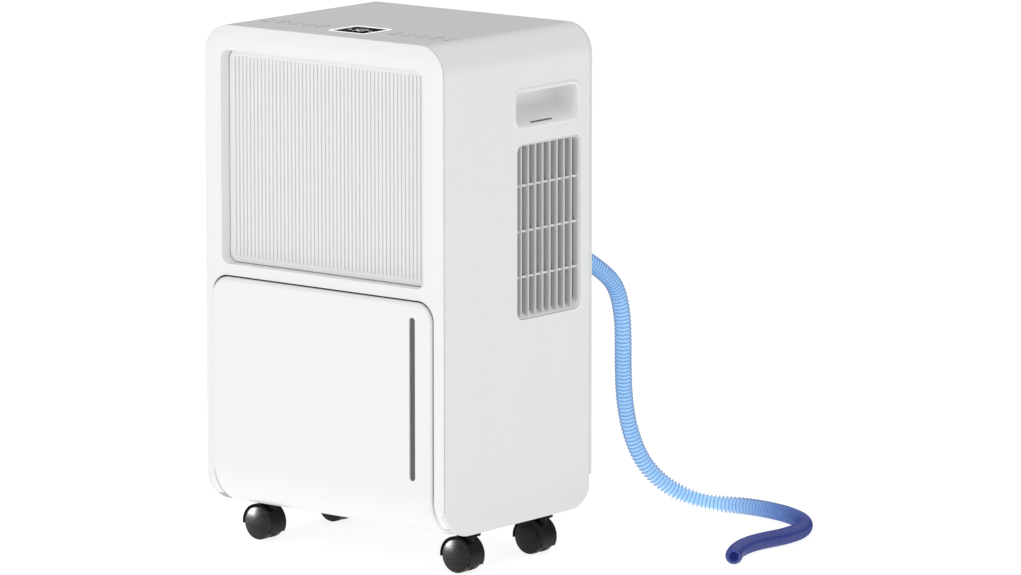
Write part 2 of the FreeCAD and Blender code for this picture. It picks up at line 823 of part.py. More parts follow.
def slot_outline(inset):
    """The outline of the water-level slot, drawn smaller all round by inset."""
    half = S.slot_width / 2 - inset
    return rectangle(SLOT_X - half, SLOT_X + half, SLOT_LOW + inset, SLOT_HIGH - inset, half - 0.05)


def make_level_window():
    """The dark strip that fills the slot of the tank front."""
    body = new_body("level_window")
    strip = new_sketch(body, "strip_outline", "XZ_Plane", -(TANK_FACE + S.tank_plate))
    draw_outline(strip, slot_outline(0.15))
    pad(body, "strip", strip, S.tank_plate - 1)
    finish(body, "level_window")


def make_tank_body():
    """The open container behind the tank front."""
    body = new_body("tank_body")
    front_bend = TANK_CURVE - S.tank_plate - 4
    rear_bend = 8
    wall = S.tank_wall
    outside = new_sketch(body, "outside_profile", "YZ_Plane", 0)
    draw_outline(outside, [
        (BOX_FRONT, BOX_TOP), (BOX_FRONT, S.tank_floor, front_bend), (BOX_BACK, S.tank_floor, rear_bend),
        (BOX_BACK, BOX_TOP),
    ])
    pad(body, "container", outside, 2 * BOX_SIDE, symmetric=True)
    inside = new_sketch(body, "inside_profile", "YZ_Plane", 0)
    draw_outline(inside, [
        (BOX_FRONT + wall, BOX_TOP + 1), (BOX_FRONT + wall, S.tank_floor + wall, front_bend - wall),
        (BOX_BACK - wall, S.tank_floor + wall, rear_bend - wall), (BOX_BACK - wall, BOX_TOP + 1),
    ])
    pocket(body, "hollow", inside, 2 * (BOX_SIDE - wall), symmetric=True)
    finish(body, "tank_body")


LUG_SPOTS = (62, 86)
LUG_WIDTH = 4


def make_tank_lid():
    """The lid, with the opening that the condensate drips through, and two lugs for the float."""
    inset = 2.5
    wall = 2
    plate = box("lid_plate", (-BOX_SIDE, BOX_SIDE), (BOX_FRONT, BOX_BACK), (BOX_TOP, LID_TOP))
    lip = box("lid_lip", (-LIP_SIDE, LIP_SIDE), (BOX_FRONT + inset, BOX_BACK - inset),
              (BOX_TOP - LIP_DROP, BOX_TOP))
    lip_inside = box("lid_lip_inside", (wall - LIP_SIDE, LIP_SIDE - wall),
                     (BOX_FRONT + inset + wall, BOX_BACK - inset - wall), (BOX_TOP - LIP_DROP - 1, BOX_TOP))
    rim = cut("lid_rim", lip, [lip_inside])
    lugs = [box(f"lid_lug_{x}", (x, x + LUG_WIDTH), (PIN_Y - 5, PIN_Y + 5), (PIN_Z - 5, BOX_TOP))
            for x in LUG_SPOTS]
    drip = box("lid_drip", (-24, 24), (DRIP_Y - 16, DRIP_Y + 16), (BOX_TOP - LIP_DROP - 2, LID_TOP + 1))
    bore = rod("lid_pin_bore", "X", S.pin_radius, (LUG_SPOTS[0] - 2, PIN_Y, PIN_Z), PIN_LENGTH + 4)
    finish(cut("lid", fuse("lid_solid", [plate, rim, *lugs]), [drip, bore]), "tank_lid")


PIN_LENGTH = LUG_SPOTS[1] + LUG_WIDTH - LUG_SPOTS[0]
ARM = (72, 80)


def make_float():
    """The float on its arm, which turns on a pin between the lid's lugs."""
    block = box("float_block", (60, 92), (PIN_Y - 52, PIN_Y - 22), (PIN_Z - 34, PIN_Z - 12))
    arm = box("float_arm", ARM, (PIN_Y - 34, PIN_Y), (PIN_Z - 13, PIN_Z - 4))
    boss = rod("float_boss", "X", S.pin_radius + 3, (ARM[0] - 2, PIN_Y, PIN_Z), ARM[1] - ARM[0] + 4)
    web = box("float_web", ARM, (PIN_Y - 4, PIN_Y + 4), (PIN_Z - 13, PIN_Z))
    bore = rod("float_bore", "X", S.pin_radius + S.running_gap, (ARM[0] - 4, PIN_Y, PIN_Z),
               ARM[1] - ARM[0] + 8)
    finish(cut("float", fuse("float_solid", [block, arm, boss, web]), [bore]), "tank_float")
    finish(rod("pin", "X", S.pin_radius, (LUG_SPOTS[0], PIN_Y, PIN_Z), PIN_LENGTH), "float_pin")
    start = DIVIDER_Y + S.divider_thick
    across = (LUG_SPOTS[0], LUG_SPOTS[0] + PIN_LENGTH)
    finish(box("switch", across, (start, start + 12), (PIN_Z - 8, PIN_Z + 12)), "level_switch")


# ---------------------------------------------------------------- handles, outlet and display

def make_handle_cup(name, side):
    """A recessed hand hold: a thin rim outside, and a cup with a sloping floor and a slit in it."""
    body = new_body(name)
    reach = S.handle_length / 2
    rise = S.handle_height / 2
    lip = side * (HALF_WIDTH + S.handle_proud)
    deep = side * (HALF_WIDTH - S.handle_depth)

    def hold_outline(extra_y, extra_z, radius):
        return rectangle(HANDLE_Y - reach - extra_y, HANDLE_Y + reach + extra_y,
                         HANDLE_Z - rise - extra_z, HANDLE_Z + rise + extra_z, radius)

    rim = new_sketch(body, "rim_outline", "YZ_Plane", lip)
    draw_outline(rim, hold_outline(S.handle_rim, S.handle_rim - 1, S.handle_corner + 1))
    pad(body, "rim", rim, S.handle_proud, backward=side > 0)
    shell = new_sketch(body, "cup_outline", "YZ_Plane", lip)
    draw_outline(shell, hold_outline(S.handle_wall, S.handle_wall, S.handle_corner + S.handle_wall))
    pad(body, "cup", shell, S.handle_depth + S.handle_proud + S.handle_wall, backward=side > 0)
    mouth = new_sketch(body, "mouth_outline", "YZ_Plane", lip)
    draw_outline(mouth, hold_outline(0, 0, S.handle_corner))
    pocket(body, "hollow", mouth, S.handle_depth + S.handle_proud, backward=side < 0)

    floor = HANDLE_Z - rise
    slope = new_sketch(body, "slope_profile", "XZ_Plane", -(HANDLE_Y + reach))
    draw_outline(slope, [(lip, floor), (deep, floor), (deep, floor + S.handle_rise)])
    pad(body, "sloping_floor", slope, 2 * reach)
    trim = new_sketch(body, "trim_outline", "YZ_Plane", side * HALF_WIDTH)
    draw_outline(trim, hold_outline(6, 6, None))
    draw_outline(trim, hold_outline(S.handle_wall, S.handle_wall, S.handle_corner + S.handle_wall))
    pocket(body, "corner_trim", trim, S.handle_depth + S.handle_wall, backward=side < 0)
    slit = new_sketch(body, "slit_outline", "XY_Plane", floor - S.handle_wall - 1)
    near = side * (HALF_WIDTH - 3)
    far = side * (HALF_WIDTH - 3 - S.slit_width)
    slit_start = HANDLE_Y - 5 - S.slit_length / 2
    draw_outline(slit, rectangle(near, far, slit_start, slit_start + S.slit_length))
    pocket(body, "slit_cut", slit, S.handle_wall + S.handle_rise / 2, backward=True)
    finish(body, name)


def make_side_vent():
    """The air outlet: a collar flanged behind the wall, upright slats and three thin bars across them."""
    face = HALF_WIDTH - S.vent_recess
    deep = HALF_WIDTH - S.vent_depth
    seat = HALF_WIDTH - S.wall
    body = new_body("vent_collar")
    collar = new_sketch(body, "collar_outline", "YZ_Plane", deep)
    draw_outline(collar, vent_outline(S.slide_gap / 2, S.vent_corner - S.slide_gap / 2))
    pad(body, "collar", collar, face - deep)
    flange = new_sketch(body, "flange_outline", "YZ_Plane", seat - S.vent_flange / 2)
    draw_outline(flange, vent_outline(-S.vent_flange, S.vent_corner + S.vent_flange))
    pad(body, "flange", flange, S.vent_flange / 2)
    opening = new_sketch(body, "opening_outline", "YZ_Plane", face + 1)
    draw_outline(opening, vent_outline(S.vent_wall, S.vent_corner - S.vent_wall))
    pocket(body, "opening", opening, S.vent_depth + 2)

    slats = []
    for step in range(int(S.slat_count.value)):
        start = VENT_Y - VENT_HALF_Y + S.slat_start + S.slat_pitch * step - S.slat_thick / 2
        slats.append(box(f"vent_slat_{step}", (deep, face - 0.4), (start, start + S.slat_thick),
                         (VENT_Z - VENT_INNER_Z - 0.5, VENT_Z + VENT_INNER_Z + 0.5)))
    bars = []
    for step in (-1, 0, 1):
        low = VENT_Z + step * S.bar_spacing - S.bar_thick / 2
        bars.append(box(f"vent_bar_{step + 2}", (deep + 2, face - 1.2),
                        (VENT_Y - VENT_INNER_Y - 0.5, VENT_Y + VENT_INNER_Y + 0.5), (low, low + S.bar_thick)))
    finish(fuse("vent", [body, *slats, *bars]), "side_vent")


def make_controls():
    """The display glass on the top, the display under it and the board that drives it."""
    body = new_body("control_lens")
    glass = new_sketch(body, "glass_outline", "XY_Plane", TOP - S.lens_recess)
    draw_outline(glass, lens_outline(0))
    pad(body, "glass", glass, S.lens_recess)
    finish(body, "control_lens")
    display_top = TOP - S.wall - 0.3
    board_top = TOP - S.wall - 10
    finish(box("display", (LENS_X - 17, LENS_X + 17), (LENS_Y - 16, LENS_Y + 16), (board_top, display_top)),
           "display_module")
    finish(box("board", (-72, 72), (LENS_Y - 30, LENS_Y + 30), (board_top - 1.6, board_top)), "control_board")


# ---------------------------------------------------------------- air path

def make_coil(name, start):
    """A block of upright fins between two sheets, and the return bends at its two ends."""
    body = new_body(name + "_fins")
    high = S.coil_base + S.coil_height
    back = start + S.coil_thick
    block = new_sketch(body, name + "_block", "XZ_Plane", -back)
    draw_outline(block, rectangle(-COIL_HALF, COIL_HALF, S.coil_base, high))
    pad(body, name + "_pad", block, S.coil_thick)
    count = ((2 * COIL_HALF - 10) / S.fin_pitch).whole()
    run = S.fin_pitch * (count - 1)
    left = -run / 2 - S.fin_gap / 2
    gap = new_sketch(body, name + "_gap", "XZ_Plane", -back)
    draw_outline(gap, rectangle(left, left + S.fin_gap, S.coil_base + 2, high - 2))
    first = pocket(body, name + "_gap_cut", gap, S.coil_thick - 2, backward=True)
    pattern(body, name + "_gaps", first, "X_Axis", run, count)
    finish(body, name + "_fins")

    bends = []
    upright = Rotation(Vector(0, 0, 1), Vector(0, -1, 0))
    step = 4 * S.bend_radius
    rows = math.floor((S.coil_height.value - 10) / step.value)
    for row_number in range(rows):
        height = S.coil_base + 14 + S.bend_radius + row_number * step
        for sign, lift in ((1, 0), (-1, 2 * S.bend_radius - 2)):
            centre = (sign * COIL_HALF, start + S.coil_thick / 2, height + lift)
            turn = Rotation(Vector(0, 1, 0), 90 * sign) * upright
            label = f"{name}_bend_{row_number}_{sign + 1}"
            bends.append(half_ring(label, S.bend_radius, S.tube_radius, centre, turn))
    finish(group(name + "_bend_group", bends), name + "_bends")


def make_fan():
    """A drum fan in a scroll that blows through the right wall."""
    inner = S.fan_radius + S.scroll_gap
    outer = inner + S.wall
    front = S.fan_start - 6
    back = FAN_BACK + 6
    ring = rod("scroll_ring", "Y", outer, (0, front, S.fan_height), back - front)
    chute = box("scroll_chute", (0, INNER_SIDE - S.vent_depth), (front, back),
                (S.fan_height - outer, VENT_TOP))
    drum_space = rod("scroll_drum_space", "Y", inner, (0, front + S.wall, S.fan_height),
                     back - front - 2 * S.wall)
    chute_space = box("scroll_chute_space", (0, INNER_SIDE), (front + S.wall, back - S.wall),
                      (S.fan_height - inner, VENT_TOP - S.wall))
    mouth = rod("scroll_mouth", "Y", S.fan_radius - 12, (0, front - 1, S.fan_height), S.wall + 2)
    shaft_hole = rod("scroll_shaft_hole", "Y", 14, (0, back - S.wall - 1, S.fan_height), S.wall + 2)
    finish(cut("scroll", fuse("scroll_solid", [ring, chute]), [drum_space, chute_space, mouth, shaft_hole]),
           "fan_scroll")


def make_fan_impeller():
    """The drum: a back disc with a hub, a ring of blades and a front rim."""
    body = new_body("fan_impeller")
    bind(body, "Placement.Base.z", S.fan_height)
    disc = new_sketch(body, "disc_outline", "XZ_Plane", -FAN_BACK)
    draw_circle(disc, 0, 0, S.fan_radius)
    pad(body, "disc", disc, 2)
    hub = new_sketch(body, "hub_outline", "XZ_Plane", -FAN_BACK)
    draw_circle(hub, 0, 0, S.shaft_radius + 6)
    pad(body, "hub", hub, S.hub_length)
    blade_root = new_sketch(body, "blade_outline", "XZ_Plane", -(FAN_BACK - 1))
    draw_outline(blade_root, rectangle(-0.7, 0.7, S.fan_radius - S.rim_width + 1, S.fan_radius - 1))
    blade = pad(body, "blade", blade_root, S.fan_width - 3)
    ring = body.newObject("PartDesign::PolarPattern", "blades")
    ring.Originals = [blade]
    ring.Axis = (base_plane(body, "Y_Axis"), [""])
    ring.Angle = 360
    bind(ring, "Occurrences", S.blade_count)
    body.Tip = ring
    rim = new_sketch(body, "rim_outline", "XZ_Plane", -(S.fan_start + 3))
    draw_circle(rim, 0, 0, S.fan_radius)
    draw_circle(rim, 0, 0, S.fan_radius - S.rim_width)
    pad(body, "rim", rim, 3)
    bore = new_sketch(body, "shaft_bore", "XZ_Plane", -FAN_BACK)
    draw_circle(bore, 0, 0, S.shaft_radius)
    pocket(body, "shaft_bore_cut", bore, S.hub_length + 1, backward=True)
    finish(body, "fan_impeller")


def make_fan_drive():
    """The shaft, the motor and the plate that holds it."""
    start = FAN_BACK + 12
    plate_y = FAN_BACK + 6
    plate_thick = 2.5
    finish(rod("shaft", "Y", S.shaft_radius, (0, FAN_BACK - 30, S.fan_height), 50), "fan_shaft")
    case = rod("motor_case", "Y", S.motor_radius, (0, start, S.fan_height), S.motor_length)
    nose = rod("motor_nose", "Y", 12, (0, start - 3, S.fan_height), 4)
    hole = rod("motor_hole", "Y", S.shaft_radius + S.running_gap, (0, start - 5, S.fan_height), 20)
    finish(cut("motor", fuse("motor_solid", [case, nose]), [hole]), "fan_motor")
    plate = box("bracket_plate", (-52, 52), (plate_y, plate_y + plate_thick),
                (S.fan_height - 46, S.fan_height + 46))
    port = rod("bracket_port", "Y", 13, (0, plate_y - 1, S.fan_height), plate_thick + 4)
    posts = []
    for index, (x, z) in enumerate(((-26, -20), (26, -20), (-26, 20), (26, 20))):
        root = plate_y + plate_thick - 0.5
        posts.append(rod(f"bracket_post_{index}", "Y", 4, (x, root, S.fan_height + z), start - root))
    finish(cut("bracket", fuse("bracket_solid", [plate, *posts]), [port]), "motor_bracket")


# ---------------------------------------------------------------- refrigeration

POT_X = -38
POT_Y = 44
FEET = [(34, -30), (34, 30), (-44, 0)]
FOOT_PLATE = 3
CROWN = 10


def make_compressor():
    """The welded pot on three rubber grommets, with its gas accumulator."""
    base = PAN_TOP + S.grommet_height
    low = base + FOOT_PLATE
    hole_radius = S.bolt_radius + 0.2
    plate = box("pot_plate", (POT_X - 50, POT_X + 42), (POT_Y - 38, POT_Y + 38), (base, low))
    barrel = rod("pot_barrel", "Z", S.compressor_radius, (POT_X, POT_Y, low), S.compressor_height)
    crown = cone("pot_crown", "Z", S.compressor_radius, S.compressor_radius - 14,
                 (POT_X, POT_Y, low + S.compressor_height), CROWN)
    holes = []
    rings = []
    bolts = []
    for index, (x, y) in enumerate(FEET):
        spot = (POT_X + x, POT_Y + y)
        holes.append(rod(f"pot_hole_{index}", "Z", hole_radius, (*spot, base - 1), FOOT_PLATE + 2))
        post = rod(f"grommet_{index}", "Z", S.grommet_radius, (*spot, PAN_TOP), S.grommet_height)
        bore = rod(f"grommet_bore_{index}", "Z", hole_radius, (*spot, PAN_TOP - 1), S.grommet_height + 2)
        rings.append(cut(f"grommet_ring_{index}", post, [bore]))
        bolts.append(rod(f"bolt_{index}", "Z", S.bolt_radius, (*spot, PAN_TOP), S.grommet_height + 2))
    finish(fuse("pot", [cut("pot_foot", plate, holes), barrel, crown]), "compressor")
    finish(group("grommets", rings), "compressor_feet")
    finish(group("bolts", bolts), "compressor_bolts")
    finish(rod("gas_pot", "Z", 15, (30, 76, 90), 92), "accumulator")


def tube_path(points, radius_limit):
    """Straight runs joined by tangent arcs; each arc is as large as its two runs allow."""
    spots = [Vector(*[amount(c) for c in p]) for p in points]
    edges = []
    radii = []
    start = spots[0]
    for before, here, after in zip(spots, spots[1:], spots[2:]):
        arriving = (here - before).normalize()
        leaving = (after - here).normalize()
        half_turn = arriving.getAngle(leaving) / 2
        run = min(before.distanceToPoint(here), here.distanceToPoint(after))
        radius = min(0.45 * run / math.tan(half_turn), radius_limit)
        setback = radius * math.tan(half_turn)
        first = here - arriving * setback
        last = here + leaving * setback
        inward = (leaving - arriving).normalize()
        centre = here + inward * (radius / math.cos(half_turn))
        middle = centre - inward * radius
        edges.append(Part.LineSegment(start, first).toShape())
        edges.append(Part.Arc(first, middle, last).toShape())
        radii.append(radius)
        start = last
    edges.append(Part.LineSegment(start, spots[-1]).toShape())
    return Part.Wire(edges), radii, (spots[1] - spots[0]).normalize()


def tube(label, points, radius, radius_limit=math.inf):
    """A round bar along the path, with its volume compared with its section times its length."""
    path, radii, heading = tube_path(points, radius_limit)
    size = amount(radius)
    ring = Part.Wire([Part.makeCircle(size, Vector(*[amount(c) for c in points[0]]), heading)])
    solid = path.makePipeShell([ring], True, False)
    expected = math.pi * size ** 2 * path.Length
    if abs(solid.Volume - expected) > 0.01 * expected:
        raise ValueError(f"{label}: volume {solid.Volume:.0f} is not {expected:.0f}")
    item = document.addObject("Part::Feature", label + "_tube")
    item.Shape = solid
    item.Placement = Placement()
    print(f"{label}: length {path.Length:.0f}, bend radii {[round(r) for r in radii]}")
    return finish(item, label)


def make_pipes():
    """The copper pipes from the compressor to the condenser and from the evaporator to the accumulator."""
    pot_top = PAN_TOP + S.grommet_height + FOOT_PLATE + S.compressor_height + CROWN
    outlet_side = -COIL_HALF - 8
    inlet_side = -COIL_HALF - 17
    tube("discharge_pipe", [
        (-50, 62, pot_top), (-50, 62, pot_top + 30), (outlet_side, 62, pot_top + 31),
        (outlet_side - 1, 61, 330), (outlet_side, -20, 331),
    ], 3.0, 14)
    tube("suction_pipe", [
        (30, 76, 182), (30, 76, 214), (30, 101, 215), (inlet_side, 100, 216), (inlet_side - 1, 73, 217),
        (inlet_side, 72, 296), (inlet_side - 1, -74, 297),
    ], 4.0, 14)


def make_electrics():
    """The run capacitor and the box for the relays."""
    finish(rod("can", "Z", 15, (90, 60, PAN_TOP), 62), "capacitor")
    finish(box("relay_box", (50, 132), (40, 92), (130, 212)), "electrical_box")


# ---------------------------------------------------------------- drain

def make_drain():
    """The tray under the coils and the pipe from it across the cabinet."""
    side = COIL_HALF + 10
    start = FRAME_BACK + 6
    end = COIL_END + 4
    wall = 2
    depth = 15
    shell = box("tray_shell", (-side, side), (start, end), (DECK_TOP, DECK_TOP + depth))
    hollow = box("tray_hollow", (wall - side, side - wall), (start + wall, end - wall),
                 (DECK_TOP + wall, DECK_TOP + depth + 1))
    chute = rod("tray_chute", "Z", 8, (0, DRIP_Y, DECK_TOP - 1), 5)
    hole = rod("tray_hole", "Y", DRAIN_BORE + 0.5, (S.drain_side, end - wall - 1, S.drain_height), wall + 2)
    finish(cut("tray", shell, [hollow, chute, hole]), "drip_tray")

    pipe_end = REAR - S.plate - SPIGOT_FLANGE
    pipe = rod("pipe_outside", "Y", S.drain_radius, (S.drain_side, end, S.drain_height), pipe_end - end)
    bore = rod("pipe_bore", "Y", DRAIN_BORE, (S.drain_side, end - 1, S.drain_height), S.body_depth)
    finish(cut("pipe", pipe, [bore]), "drain_pipe")


DRAIN_BORE = S.drain_radius - 1.5
SPIGOT_FLANGE = 3


def make_drain_outlet():
    """The spigot through the rear panel and the cuff that holds the hose on it."""
    seat = REAR - S.plate
    spot = (S.drain_side, S.drain_height)

    def stud(name, radius, start, end):
        return rod(name, "Y", radius, (spot[0], start, spot[1]), end - start)

    flange = stud("spigot_flange", S.drain_radius + 5, seat - SPIGOT_FLANGE, seat)
    neck = stud("spigot_neck", S.drain_radius, seat, SPIGOT_TIP)
    through = stud("spigot_bore", DRAIN_BORE, seat - SPIGOT_FLANGE - 1, SPIGOT_TIP + 1)
    finish(cut("spigot", fuse("spigot_solid", [flange, neck]), [through]), "drain_spigot")

    sleeve = stud("cuff_outside", S.cuff_radius, REAR + 0.3, CUFF_END)
    nipple = stud("cuff_bore", S.drain_radius + S.running_gap, REAR, SPIGOT_TIP + 0.2)
    socket = stud("cuff_socket", S.hose_radius, SPIGOT_TIP + 0.2, CUFF_END + 1)
    finish(cut("cuff", sleeve, [nipple, socket]), "hose_cuff")


HOSE_POINTS = [
    (110, 116.7, 277), (110, 132, 277), (110, 170, 256.5), (109, 197, 237), (107, 209.5, 207),
    (103, 216, 180), (96, 225, 150), (90, 235, 116), (88, 247, 82), (92, 262, 51),
    (104, 280, 28), (122, 299, 14), (145, 314, 8.6), (171, 322, 8.6), (200, 322, 8.6),
    (232, 314, 8.6), (264, 295, 8.6), (284, 265, 8.6), (288, 229, 8.6), (282, 197, 8.6),
    (284, 168, 8.6), (296, 137, 8.6), (305, 125, 8.6),
]


def make_hose():
    """The drain hose, which hangs from its cuff and lies on the floor to its open end."""
    tube("drain_hose", HOSE_POINTS, S.hose_radius)


def make_gland():
    """The bush in the rear panel that the mains lead passes through."""
    flange_thick = 2
    tail = REAR + flange_thick - S.gland_length
    flange = rod("gland_flange", "Y", GLAND_BODY + 3, (GLAND_X, REAR, GLAND_Z), flange_thick)
    neck = rod("gland_neck", "Y", GLAND_BODY, (GLAND_X, tail, GLAND_Z), S.gland_length)
    bore = rod("gland_hole", "Y", S.gland_bore, (GLAND_X, tail - 1, GLAND_Z), S.gland_length + 2)
    finish(cut("gland", fuse("gland_solid", [flange, neck]), [bore]), "cord_gland")


def make_panel_screws():
    """The rear panel's screws, in their recesses."""
    face = REAR - 0.2
    cross = (REAR - 0.8, REAR)
    screws = []
    for index, (x, z) in enumerate(screw_spots()):
        head = rod(f"screw_head_{index}", "Y", S.screw_head, (x, face - S.head_height, z), S.head_height)
        shank = rod(f"screw_shank_{index}", "Y", S.screw_shank, (x, SHELL_REAR - 8.5, z), S.plate + 7.5)
        level = box(f"screw_level_{index}", (x - 2.2, x + 2.2), cross, (z - 0.4, z + 0.4))
        upright = box(f"screw_upright_{index}", (x - 0.4, x + 0.4), cross, (z - 2.2, z + 2.2))
        screws.append(cut(f"screw_{index}", fuse(f"screw_solid_{index}", [head, shank]), [level, upright]))
    finish(group("screws", screws), "panel_screws")


# ---------------------------------------------------------------- casters

def make_caster(name, side, end):
    """One twin-wheel caster: a hood with its stem, an axle, and two wheels."""
    x = side * CASTER_SIDE
    y = end * S.caster_front
    z = S.wheel_radius
    half = S.wheel_spread / 2 + S.wheel_width
    hood_half = half - S.cap_proud
    inner_start = y + S.wheel_spread / 2
    hood_inner = S.wheel_radius + S.hood_gap
    hood_outer = hood_inner + S.hood_thick
    stem_low = z + 12

    arch = rod(f"{name}_arch", "Y", hood_outer, (x, y - hood_half, z), 2 * hood_half)
    room = [rod(f"{name}_room_{i}", "Y", hood_inner, (x, start, z), S.wheel_width + 2)
            for i, start in enumerate((y - half - 1, inner_start - 1))]
    below = [box(f"{name}_below_{i}", sides, (y - half, y + half), (z - 2 * hood_outer, z - drop))
             for i, (sides, drop) in enumerate((((x - 2 * hood_outer, x), 2),
                                                ((x, x + 2 * hood_outer), S.hood_drop)))]
    hood = cut(f"{name}_shell", arch, [*room, *below])
    web = rod(f"{name}_web", "Y", S.wheel_radius - 5, (x, y - S.wheel_spread / 2 + 1, z), S.wheel_spread - 2)
    disc = rod(f"{name}_disc", "Z", 11, (x + S.caster_trail, y, BOTTOM - 4), 3)
    bore = rod(f"{name}_axle_bore", "Y", S.axle_radius, (x, y - half, z), 2 * half)
    hood_solid = cut(f"{name}_hood_cut", fuse(f"{name}_hood_solid", [hood, web, disc]), [bore])

    stem = rod(f"{name}_stem", "Z", S.stem_radius, (x + S.caster_trail, y, stem_low),
               BOTTOM + S.socket_height - 1 - stem_low)
    clear = [rod(f"{name}_stem_room_{i}", "Y", hood_inner, (x, start, z), S.wheel_width + 0.5)
             for i, start in enumerate((y - half - 0.5, inner_start))]
    finish(fuse(f"{name}_hood", [hood_solid, cut(f"{name}_stem_cut", stem, clear)]), f"caster_{name}_hood")
    axle = rod(f"{name}_axle_rod", "Y", S.axle_radius, (x, y - half + 1.5, z), 2 * half - 3)
    finish(axle, f"caster_{name}_axle")

    wheels = []
    for index, (start, shift) in enumerate(((y - half, 1), (inner_start, -1))):
        tread = rod(f"{name}_tread_{index}", "Y", S.wheel_radius, (x, start, z), S.wheel_width)
        hole = rod(f"{name}_hole_{index}", "Y", S.axle_radius + S.running_gap, (x, start + shift, z),
                   S.wheel_width)
        wheels.append(cut(f"{name}_wheel_{index}", tread, [hole]))
    finish(group(f"{name}_wheel_pair", wheels), f"caster_{name}_wheels")


# ---------------------------------------------------------------- assembly

def main():
    make_cabinet_shell()
    make_front_frame()
    make_rear_panel()
    make_base_pan()
    make_chassis()
    make_inlet_grille()
    make_tank_front()
    make_level_window()
    make_tank_body()
    make_tank_lid()
    make_float()
    make_handle_cup("handle_cup_right", 1)
    make_handle_cup("handle_cup_left", -1)
    make_side_vent()
    make_controls()
    make_coil("evaporator", COIL_FRONT)
    make_coil("condenser", COIL_FRONT + S.coil_thick + COIL_GAP)
    make_fan()
    make_fan_impeller()
    make_fan_drive()
    make_compressor()
    make_pipes()
    make_electrics()
    make_drain()
    make_drain_outlet()
    make_hose()
    make_gland()
    make_panel_screws()
    for name, (side, end) in CASTERS.items():
        make_caster(name, side, end)
    document.recompute()
    check_document()
    write_parts()


def check_document():
    """Stops if anything failed, if a cut removed nothing, or if a sub-part isn't sound."""
    faults = [item.Name for item in document.Objects if {"Invalid", "Error"} & set(item.State)]
    for before, after in CUTS:
        if after.Shape.Volume > before.Shape.Volume - 0.5:
            faults.append(f"{after.Name} cuts nothing")
    for label, item in NODES.items():
        if item.Shape.isNull() or not item.Shape.isValid() or not item.Shape.Solids:
            faults.append(f"{label} has no sound shape")
    if faults:
        raise RuntimeError("; ".join(faults))


def write_parts():
    os.makedirs("parts", exist_ok=True)
    for label, item in NODES.items():
        item.Shape.exportStep(f"parts/{label}.step")
    print(f"{len(NODES)} sub-parts written")


main()
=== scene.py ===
"""The look of a compressor dehumidifier on four casters, built round its CAD frame.

Lengths are metres. +Z is up, -Y is the front and +X is the right-hand side.
"""

import logging
import math
from dataclasses import dataclass
from enum import Enum
from typing import Any, Optional, Sequence, Union

import bmesh
import bpy
from mathutils import Matrix, Vector


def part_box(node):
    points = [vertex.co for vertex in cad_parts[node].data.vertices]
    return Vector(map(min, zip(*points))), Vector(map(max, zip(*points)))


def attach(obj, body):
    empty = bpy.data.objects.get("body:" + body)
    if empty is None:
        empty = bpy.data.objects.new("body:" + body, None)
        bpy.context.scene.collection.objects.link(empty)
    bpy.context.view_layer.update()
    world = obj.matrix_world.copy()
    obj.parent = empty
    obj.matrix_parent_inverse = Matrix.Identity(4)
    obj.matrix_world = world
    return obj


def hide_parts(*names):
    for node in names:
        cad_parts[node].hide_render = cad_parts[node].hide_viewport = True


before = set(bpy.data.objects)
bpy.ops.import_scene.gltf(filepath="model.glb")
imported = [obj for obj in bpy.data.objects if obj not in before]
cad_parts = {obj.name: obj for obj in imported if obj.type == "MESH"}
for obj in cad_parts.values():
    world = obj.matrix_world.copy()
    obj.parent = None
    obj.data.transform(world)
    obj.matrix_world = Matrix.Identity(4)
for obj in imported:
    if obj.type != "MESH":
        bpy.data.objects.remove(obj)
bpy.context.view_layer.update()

Colour = tuple[float, float, float, float]
Number = Union["Wire", float]
SHARP_TURN = 32.0
FLAT_TURN = 0.4
TINY = 1e-6

logging.basicConfig(level=logging.INFO, format="%(name)s: %(message)s")
log = logging.getLogger("dehumidifier")


def screen(red: float, green: float, blue: float) -> Colour:
    """Gives the linear colour of a screen colour.

    Args:
        red: The red part, 0 to 255.
        green: The green part, 0 to 255.
        blue: The blue part, 0 to 255.

    Returns:
        A linear colour with full alpha.
    """
    def linear(part: float) -> float:
        """Gives the linear value of one part."""
        share = part / 255
        return share / 12.92 if share <= 0.04045 else ((share + 0.055) / 1.055) ** 2.4

    return linear(red), linear(green), linear(blue), 1.0


def grey(tone: float) -> Colour:
    """Gives an even grey of a linear tone."""
    return tone, tone, tone, 1.0


def shaded(colour: Colour, share: float) -> Colour:
    """Gives a colour made darker or lighter by a share, and no lighter than white."""
    return tuple(min(1.0, part * share) for part in colour[:3]) + (1.0,)


# ---------------------------------------------------------------- node trees

